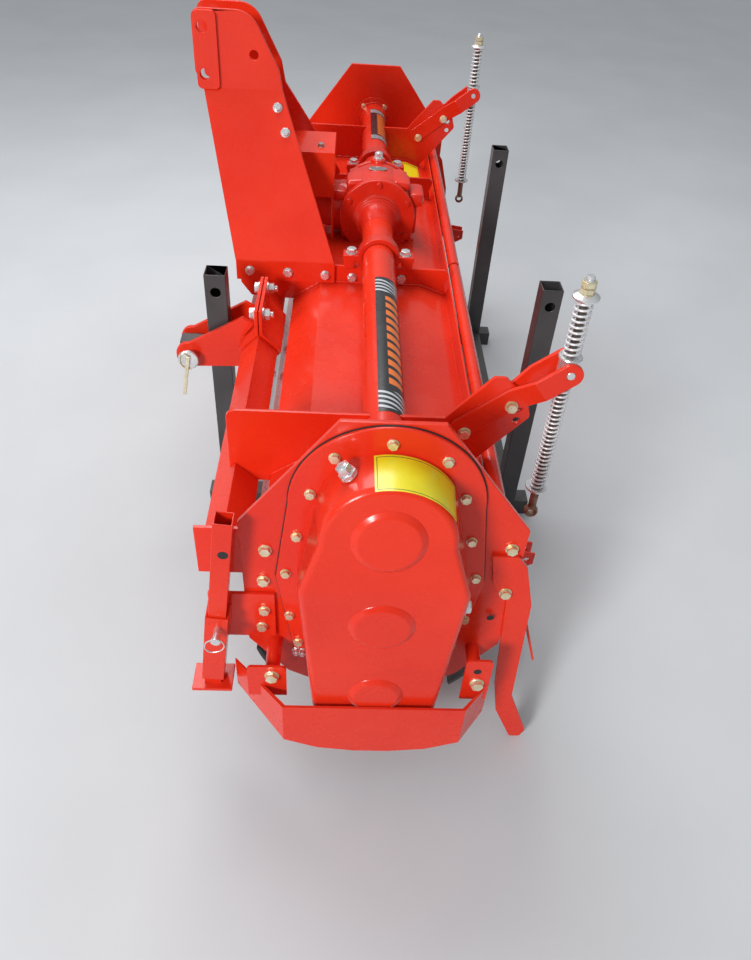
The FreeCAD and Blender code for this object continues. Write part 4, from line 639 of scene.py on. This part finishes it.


# Plugs, and black discs painted as the shade in empty bolt holes

def plug(name, at, way, scale):
    """A vent plug: two hexagons and a cap on a threaded neck, pointing up until it is placed."""
    neck = threaded_end(name + "_neck", 12, 10)
    lower = hex_head(name + "_lower", across=34, high=9, washer_radius=18, washer_high=2)
    lower.location = (0, 0, 0.003)
    upper = hex_head(name + "_upper", across=27, high=16, washer_radius=14, washer_high=1.5)
    upper.location = (0, 0, 0.014)
    cap = turned(name + "_cap", [(30, 11), (33, 10.5), (34.5, 8)], (0, 0, 0), "z", 24)
    for part in (lower, upper):
        settle(part)
    whole = joined(name, [neck, lower, upper, cap])
    whole.scale = (scale,) * 3
    settle(whole)
    whole.rotation_euler = Vector((0, 0, 1)).rotation_difference(Vector(way)).to_euler()
    whole.location = at
    return dress(whole, bright_zinc, angle=30)


plug("case_filler_plug", spot(-1036, 64, 795), (0, 0.55, 0.83), 0.8)
plug("gearbox_filler_plug", spot(276, 0, 803), UP, 0.7)
level_rings = [(0, 17), (5, 17), (7, 13), (13, 13), (15, 11)]
level_plug = turned("case_level_plug", level_rings, spot(-1062, -141, 526), "-y", 6)
dress(level_plug, bright_zinc, angle=30)


def painted_hole_shade(name, at, way, radius, body="frame"):
    """A black disc painted as the shade inside an empty bolt hole."""
    piece = turned(name, [(0, radius), (0.2, radius)], at, way, 28)
    return dress(piece, painted_shade_black, body)


# Black discs painted as the shade inside the empty bolt holes
painted_hole_shade("lug_hole_rear", spot(-1078.1, -191, 354), "-x", 7.5)
painted_hole_shade("runner_hole", spot(-RUNNER_FACE - 0.1, -214, 420), "-x", 7)
painted_hole_shade("leg_hole_left", spot(-LEG_FACE - 0.05, 270, 613), "-x", 9, "parking_leg_left")
painted_hole_shade("leg_hole_right", spot(LEG_FACE + 0.05, 270, 613), "x", 9, "parking_leg_right")


# The gearbox: a casting with end discs, bell necks, pads and side lugs

def gearbox():
    """The casting, the bolts round its end discs, and a bare plate on its crown."""
    left, right = HEAD - 75, HEAD + 75
    half_drum = [(10, 88), (12, 92), (30, 97), (40, 99)]
    drum = [(left + along, radius) for along, radius in half_drum]
    drum += [(right - along, radius) for along, radius in half_drum[::-1]]
    bulge = [(left + 8, 92), (left + 26, 102), (right - 26, 102), (right - 8, 92)]
    parts = [turned("gearbox_drum", drum, spot(0, 0, TUBE_HIGH), "x", 96),
             turned("gearbox_bulge", bulge, spot(0, 0, TUBE_HIGH), "x", 64)]
    disc = [(0, 70), (0, 99), (1.5, 101.5), (4, 102.5), (14, 102.5), (16, 101), (16, 88)]
    neck = [(-16, 72), (-3, 68), (2, 65), (6, 63), (8, 59.5), (14, 58.5), (16, 55.5), (22, 54.5),
            (24, 51.5), (30, 50), (38, 46.8), (50, 44), (66, 42), (84, 40.8), (92, 40.5), (92, 38)]
    snout = [(20, 68), (98, 68), (104, 66), (118, 66), (120, 62), (126, 56), (150, 53), (184, 52),
             (188, 50), (188, 30)]
    plug_seat = [(760, 24), (800, 22), (806, 20), (808, 18)]
    pad, slope = (70, 48, 22), math.radians(7)
    for tag, disc_face, face, inward, outward in (("left", left - 2, left, "x", "-x"),
                                                  ("right", right + 2, right, "-x", "x")):
        parts.append(turned("gearbox_disc_" + tag, disc, spot(disc_face, 0, TUBE_HIGH), inward, 96))
        parts.append(turned("gearbox_neck_" + tag, neck, spot(face, 0, TUBE_HIGH), outward, 96))
    parts += [
        brick("gearbox_base", (126, 200, 84), spot(HEAD, 0, 670), 0.014),
        brick("gearbox_crown", (110, 168, 66), spot(HEAD, 0, 761), 0.022),
        brick("gearbox_lug_front", (84, 44, 40), spot(HEAD - 16, 103, 744), 0.013),
        brick("gearbox_lug_rear", (84, 44, 40), spot(HEAD - 16, -103, 744), 0.013),
        brick("gearbox_rib_front", (22, 30, 110), spot(HEAD - 16, 96, 690), 0.008),
        brick("gearbox_rib_rear", (22, 30, 110), spot(HEAD - 16, -96, 690), 0.008),
        brick("gearbox_pad_front", pad, spot(HEAD - 22, 62, 782), 0.010, (-slope, 0, 0)),
        brick("gearbox_pad_rear", pad, spot(HEAD - 22, -62, 782), 0.010, (slope, 0, 0)),
        turned("gearbox_plug_seat", plug_seat, spot(276, 0, 0), "z", 40),
        turned("gearbox_snout", snout, spot(HEAD, 0, TUBE_HIGH), "y", 64),
    ]
    dress(joined("gearbox_casting", parts), cast_red, angle=38, node="gearbox_housing")
    places = []
    for step in range(6):
        turn = math.radians(90 + 60 * step)
        for x, way in ((left - 3, LEFT), (right + 3, RIGHT)):
            at = spot(x, 90 * math.cos(turn), TUBE_HIGH + 90 * math.sin(turn))
            places.append((at, way, 0.72))
    dress(copies("gearbox_disc_bolts", bolt_model, places), cast_red, angle=30)
    plate = turned("gearbox_plate", [(0, 25), (1.2, 25), (1.8, 24)], (0, 0, 0), "z", 48)
    plate.scale = (0.55, 1, 1)
    plate.location = spot(218, 2, 801.5)
    dress(plate, dull_steel)


gearbox()


def input_shaft():
    """The splined input shaft: teeth grow out of every other face of a turned shaft."""
    teeth, tooth_radius = 12, 15.6
    core = [(128, 22), (191, 22), (191, 14.6), (240, 14.6), (241, 13), (249, 13), (250, 14.6),
            (268, 14.6), (270, 12.5)]
    shaft = turned("input_shaft_core", core, spot(HEAD, 0, TUBE_HIGH), "y")
    bars = []
    for tooth in range(teeth):
        turn = math.tau * tooth / teeth
        for start, end in ((192, 239), (251, 267)):
            at = spot(HEAD + tooth_radius * math.sin(turn), (start + end) / 2,
                      TUBE_HIGH + tooth_radius * math.cos(turn))
            size = (4.6, end - start, 3.4)
            bars.append(brick("spline_%d_%d" % (tooth, start), size, at, 0.0007, (0, turn, 0)))
    whole = joined("input_shaft_splined", [shaft] + bars)
    return dress(whole, bright_zinc, "input_shaft", node="input_shaft")


input_shaft()


# Spring rods with their springs, trunnions and nuts

def spring(name, at, foot, top, turns, radius, wire_radius, body):
    """A coil turned up round the rod, in millimetres."""
    bpy.ops.mesh.primitive_circle_add(vertices=10, radius=wire_radius / 1000, fill_type="NGON",
                                      location=((radius - wire_radius) / 1000, 0, 0),
                                      rotation=(math.pi / 2, 0, 0))
    piece = named(name)
    settle(piece)
    pitch = (top - foot - 2 * wire_radius) / turns / 1000
    modify(piece, "SCREW", axis="Z", angle=math.tau, screw_offset=pitch, iterations=turns,
           steps=24, render_steps=24, use_merge_vertices=True, merge_threshold=0.00001)
    bpy.ops.object.mode_set(mode="EDIT")
    bpy.ops.mesh.select_all(action="SELECT")
    bpy.ops.mesh.normals_make_consistent(inside=False)
    bpy.ops.object.mode_set(mode="OBJECT")
    piece.location = at + Vector((0, 0, (foot + wire_radius) / 1000))
    return dress(piece, spring_zinc, body, 60)


def spring_rod(side):
    """One rod: a shaft painted dark as the shade between the coils, with an eye, a block with pins,
    cupped washers, nuts, two springs.
    """
    body = "spring_rod_" + side
    low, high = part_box(body)
    middle = (low + high) / 2
    at = Vector((middle.x, middle.y, 0))
    top, eye = high.z * 1000, low.z * 1000 + 14
    upper_foot, upper_top = PIN_HIGH + 25, top - 38
    lower_foot, lower_top = eye + 66, PIN_HIGH - 19
    shaft = [(eye + 8, 7.4), (eye + 14, 8), (top - 20, 7)]
    # The shaft's dark colour is painted shade between the coils
    dress(turned("rod_shaft_" + side, shaft, at, "z", 28), shade_dark_steel, body)
    thread = []
    for turn in range(17):
        thread += [(top - 40 + turn * 2.2, 7.9), (top - 38.9 + turn * 2.2, 7.0)]
    thread += [(top - 1.5, 6.9), (top, 5.6)]
    dress(turned("rod_thread_" + side, thread, at, "z", 28), bright_zinc, body)
    shank_rings = [(eye + 7, 8.2), (lower_foot - 6, 8.2), (lower_foot - 5, 7)]
    shank = turned("rod_shank_" + side, shank_rings, at, "z", 28)
    loop = ring("rod_eye_" + side, 7.4, 13.9, 17, at + Vector((0, 0, eye / 1000)))
    dress(joined("rod_shank_" + side, [shank, loop]), rusty_steel, body)

    half = (high.x - low.x) * 500
    block_at = at + Vector((0, 0, PIN_HIGH / 1000))
    block_ring = [(PIN_HIGH + rise, radius)
                  for rise, radius in ((-19, 15), (-18, 18.5), (18, 18.5), (19, 15))]
    pins = [(-half, 6.6), (-half + 1.4, 8), (half - 1.4, 8), (half, 6.6)]
    spool = [(PIN_HIGH + rise, radius)
             for rise, radius in ((18, 17), (19.5, 20.5), (22, 21.5), (24.5, 20), (25.5, 14))]
    top_cup = [(upper_top + rise, radius)
               for rise, radius in ((-1, 22.5), (1.5, 23), (3, 22), (6.5, 14), (7, 12))]
    low_cup = [(lower_foot - fall, radius)
               for fall, radius in ((-1, 22.5), (1.5, 23), (3, 22), (5.5, 14), (6, 12))]
    fittings = [
        brick("rod_block_" + side, (30, 30, 28), block_at, 0.003),
        turned("rod_block_ring_" + side, block_ring, at, "z", 40),
        turned("rod_pins_" + side, pins, block_at, "x", 32),
        turned("rod_spool_" + side, spool, at, "z", 40),
        turned("rod_cup_top_" + side, top_cup, at, "z", 40),
        turned("rod_cup_low_" + side, low_cup, at, "z", 40),
    ]
    dress(joined("rod_fittings_" + side, fittings), bright_zinc, body, node=body)
    nuts = []
    for foot in (upper_top + 7, upper_top + 18.5):
        nut = hex_head("rod_nut_%s_%d" % (side, foot), across=23, high=9.5, washer_radius=12.5,
                       washer_high=0.8)
        nut.location = at + Vector((0, 0, foot / 1000))
        nuts.append(settle(nut))
    dress(joined("rod_nuts_" + side, nuts), yellow_zinc, body, 30)
    upper = spring("upper_spring_" + side, at, upper_foot, upper_top, turns=10, radius=16,
                   wire_radius=2.25, body=body)
    spring("lower_spring_" + side, at, lower_foot, lower_top, turns=26, radius=14.8,
           wire_radius=2.1, body=body)
    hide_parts("springs_" + side)


for side in ("left", "right"):
    spring_rod(side)


# Hitch pins with their linch pins, and the parking legs' pins

def hitch_pin(side, step):
    """A lower link pin with a disc at its outer end, and a linch pin hung on the disc's face."""
    low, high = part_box("hitch_pin_" + side)
    at = Vector((0, (low.y + high.y) / 2, (low.z + high.z) / 2))
    start, end = (low.x * 1000, high.x * 1000)[::step]
    long = abs(end - start)
    rings = [(0, 23), (1.5, 25), (4.5, 25), (6, 23), (6, 14), (8, 14), (long - 10, 14),
             (long - 9, 19), (long - 1.5, 20), (long, 18.5)]
    outer = at + Vector((start / 1000, 0, 0))
    pin = turned("hitch_pin_whole_" + side, rings, outer, X_WAY[step])
    dress(pin, bright_zinc, node="hitch_pin_" + side)
    x = start / 1000 - step * 0.0014
    hung = at + Vector((x - step * 0.0032, 0.008, -0.042))
    tongue = brick("linch_tongue_" + side, (4, 9, 112), hung, 0.0012, (math.radians(10), 0, 0))
    bends = [(0, 14), (12, 18), (19, 4), (17, -14), (6, -22), (-6, -24)]
    loop = wire("linch_loop_" + side, [at + Vector((x, y / 1000, z / 1000)) for y, z in bends], 1.6)
    dress(joined("linch_pin_" + side, [tongue, loop]), yellow_zinc, angle=40)


hitch_pin("left", 1)
hitch_pin("right", -1)


def leg_pin(side, step, out):
    """A clevis pin through the sleeve, with its ring clip; out is how far its head stands off."""
    y, z, face = 292, 422, step * 1044
    rings = [(-50, 5), (-48, 6.5), (out - 7, 6.5), (out - 7, 8.5), (out - 5.5, 9.2),
             (out - 1, 9.2), (out, 8)]
    pin = turned("leg_pin_body_" + side, rings, spot(face, y, z), X_WAY[step], 28)
    bends = [(-9, 2), (-14, -16), (0, -32), (17, -30), (19, -8), (9, 2)]
    knots = [spot(face + step * (out - 4), y + bend_y, z + bend_z) for bend_y, bend_z in bends]
    clip = wire("leg_pin_clip_" + side, knots, 1.3)
    dress(joined("leg_pin_" + side, [pin, clip]), bright_zinc, angle=40)


leg_pin("left", -1, out=32)
leg_pin("right", 1, out=8.5)


# Bolts and nuts; the front three of each row of strip bolts go through a foot of the mast too

case_edge = [(89, 803), (127, 725), (150, 626), (170, 532), (165, 414), (149, 333)]
case_bolts = [(0, 834)] + case_edge + [(-y, z) for y, z in case_edge]
bolts("gear_case_bolts", [(FLANGE_X, y, z) for y, z in case_bolts], LEFT, 0.8)
bolts("drain_fittings", [(FLANGE_X, 153, 306), (FLANGE_X, 141, 303)], LEFT, 0.7, nut_model,
      bright_zinc)
strip_through_mast = [(320, 654), (225, 653), (132, 650)]
strip_alone = [(64, 642), (-61, 643)]
for side, step in (("left", -1), ("right", 1)):
    way = (step, 0, 0)
    plate_places = [(211, 502), (205, 582), (-225, 602)]
    bolts("side_plate_bolts_" + side, [(step * PLATE_FACE, y, z) for y, z in plate_places], way)
    bolts("runner_bolt_" + side, [(step * RUNNER_FACE, -230, 494)], way)
    web_places = [(211, 427), (217, 379)]
    bolts("leg_web_bolts_" + side, [(step * RUNNER_FACE, y, z) for y, z in web_places], way, 0.9)
    lever_places = [(-146, 705), (-223, 768)]
    near, far = step * SUPPORT - 12, step * SUPPORT + 12
    bolts("lever_bolts_" + side, [(near, y, z) for y, z in lever_places], LEFT)
    bolts("lever_nuts_" + side, [(far, y, z) for y, z in lever_places], RIGHT, 0.9, nut_model)
    clamp_x = HEAD + step * CLAMP_REACH
    bolts("clamp_bolts_" + side, [(clamp_x, -67, 707), (clamp_x, 67, 707)], UP, 1.2,
          material=bright_zinc)
    near_faces = [(y, z, MAST_THICK if side == "left" else 0) for y, z in strip_through_mast]
    far_faces = [(y, z, MAST_THICK if side == "right" else 0) for y, z in strip_through_mast]
    alone = [(y, z, 0) for y, z in strip_alone]
    bolts("strip_bolts_" + side,
          [(clamp_x - SUPPORT_HALF - foot, y, z) for y, z, foot in near_faces + alone],
          LEFT, material=bright_zinc)
    bolts("strip_nuts_" + side,
          [(clamp_x + SUPPORT_HALF + foot, y, z) for y, z, foot in far_faces + alone],
          RIGHT, 0.9, nut_model, bright_zinc)
    for end, end_x in (("near", -62), ("far", 62)):
        x = HEAD + step * HITCH_REACH + end_x
        tag = "%s_%s" % (side, end)
        bolts("bracket_bolts_" + tag, [(x, 287, 650), (x, 287, 484)], FRONT, 1.3,
              material=bright_zinc)
        bolts("bracket_nuts_" + tag, [(x, 269, 650), (x, 269, 484)], BACK, 1.3, nut_model,
              bright_zinc)
bolts("guard_bolts", [(-1078, 194, 329), (-1078, -194, 318)], LEFT, 1.15)
reach = 51 * 0.7
bolts("end_flange_bolts",
      [(976, y, TUBE_HIGH + z) for y in (-reach, reach) for z in (-reach, reach)], LEFT, 0.8)
bearing_turns = [math.radians(30 + 60 * step) for step in range(6)]
bolts("bearing_bolts",
      [(1008, 62 * math.cos(turn), ROTOR_HIGH + 62 * math.sin(turn)) for turn in bearing_turns],
      RIGHT, 0.9)
bolts("shield_bolt", [(176, 155, 868)], UP, 0.8, material=dull_steel)
mast_way = (-0.764, 0, 0.645)
bolts("mast_bolts", [(133, 262, 969), (94.6, 241, 923.1)], mast_way, material=bright_zinc)


# Weld beads

beads = [
    round_weld("tube_weld_left", -984, 41),
    round_weld("tube_weld_flange", 974, 50),
]
hood_folds = [(212, 581), (142, 629), (-110, 629)]
for side, step in (("left", -1), ("right", 1)):
    for face in (-5, 5):
        for tag, middle, last in (("support", step * SUPPORT, (-154, 613)),
                                  ("centre", HEAD + step * CLAMP_REACH, (-176, 606))):
            knots = [spot(middle + face, y, z) for y, z in hood_folds + [last]]
            beads.append(weld("%s_weld_%s_%d" % (tag, side, face), knots))
    sleeve = [spot(step * 1003, 281, 352), spot(step * 1003, 272, 444)]
    beads.append(weld("sleeve_weld_" + side, sleeve, 2.6))
dress(joined("weld_beads", beads), red_paint, angle=60)


# Rotor: red tube and discs over the dark blades, and the blades' bolts

def rotor_dress():
    """Each disc is turned a little further than the one before, and each blade has two bolts."""
    half, discs, tines, turn_on = 970, 9, 6, 22
    tube_rings = [(-half, 24), (-half, 43), (-half + 2, 44.7), (half - 2, 44.7), (half, 43),
                  (half, 24)]
    tube = turned("rotor_tube", tube_rings, spot(0, 0, ROTOR_HIGH))
    disc_rings = [(-0.3, 60), (-0.3, 114.4), (0.6, 115.3), (9.4, 115.3), (10.3, 114.4), (10.3, 60)]
    parts, places = [tube], []
    first, pitch = -half + 72, (2 * half - 154) / (discs - 1)
    for disc in range(discs):
        x = first + disc * pitch
        parts.append(turned("rotor_disc_%d" % disc, disc_rings, spot(x, 0, ROTOR_HIGH), "x", 64))
        for tine in range(tines):
            turn = math.radians(tine * 360 / tines + disc * turn_on)
            face, way = (x + 18, RIGHT) if tine % 2 else (x - 8, LEFT)
            for radius in (78, 98):
                at = spot(face, -radius * math.sin(turn), ROTOR_HIGH + radius * math.cos(turn))
                places.append((at, way, 0.8))
    dress(joined("rotor_tube_and_discs", parts), rotor_red, "rotor")
    dress(copies("rotor_bolts", bolt_model, places), dull_steel, "rotor", 30)


rotor_dress()


# Stage, light and camera

bpy.ops.mesh.primitive_plane_add(size=70, location=(0, 0, 0))
floor = named("floor")
floor_material = finish("floor_grey", (0.60, 0.61, 0.62), (0.63, 0.64, 0.65), (0.7, 0.85), 2.0)
floor.data.materials.append(floor_material)

world = bpy.data.worlds.new("sky")
bpy.context.scene.world = world
world.use_nodes = True
sky = world.node_tree.nodes["Background"]
sky.inputs["Strength"].default_value = 0.55
height = world.node_tree.nodes.new("ShaderNodeSeparateXYZ")
heading = world.node_tree.nodes.new("ShaderNodeTexCoord")
world.node_tree.links.new(heading.outputs["Generated"], height.inputs[0])
share = link_range(world.node_tree, height.outputs["Z"], -0.15, 0.9, 0, 1)
colour = link_mix(world.node_tree, share, (0.30, 0.31, 0.33, 1), (0.92, 0.96, 1.0, 1))
world.node_tree.links.new(colour, sky.inputs["Color"])


def lamp(name, at, aim, size, power, colour=(1, 1, 1)):
    """A round lamp, its place, aim and size in metres and its power in watts."""
    bpy.ops.object.light_add(type="AREA", location=at)
    light = bpy.context.object
    light.name = name
    light.data.shape = "DISK"
    light.data.size = size
    light.data.energy = power
    light.data.color = colour
    light.rotation_euler = (Vector(aim) - Vector(at)).to_track_quat("-Z", "Y").to_euler()


lamp("overhead", (1.2, 0.8, 3.4), (0, 0, 0.5), size=2.4, power=78, colour=(0.96, 0.98, 1))
lamp("front_left", (-6.3, 3.8, 3.6), (-0.9, 0, 0.5), size=1.8, power=400)

# The camera's turn, place and lens, solved from the photo's straight edges
yaw, pitch, roll = (math.radians(angle) for angle in (-3.6667, 41.6403, -4.3535))
ahead = Vector((math.cos(pitch) * math.cos(yaw), math.cos(pitch) * math.sin(yaw), -math.sin(pitch)))
across = Vector((math.sin(yaw), -math.cos(yaw), 0))
down = ahead.cross(across)
right = math.cos(roll) * across + math.sin(roll) * down
up = math.sin(roll) * across - math.cos(roll) * down
bpy.ops.object.camera_add(location=spot(-1940, 83, 1595))
camera = bpy.context.object
camera.rotation_euler = Matrix((right, up, -ahead)).transposed().to_euler()
camera.data.sensor_width = 36
camera.data.lens = 29.61
bpy.context.scene.camera = camera
bpy.context.scene.view_settings.view_transform = "Standard"

# Models out of the way

for model in (bolt_model, nut_model):
    bpy.data.objects.remove(model)
bpy.context.view_layer.update()
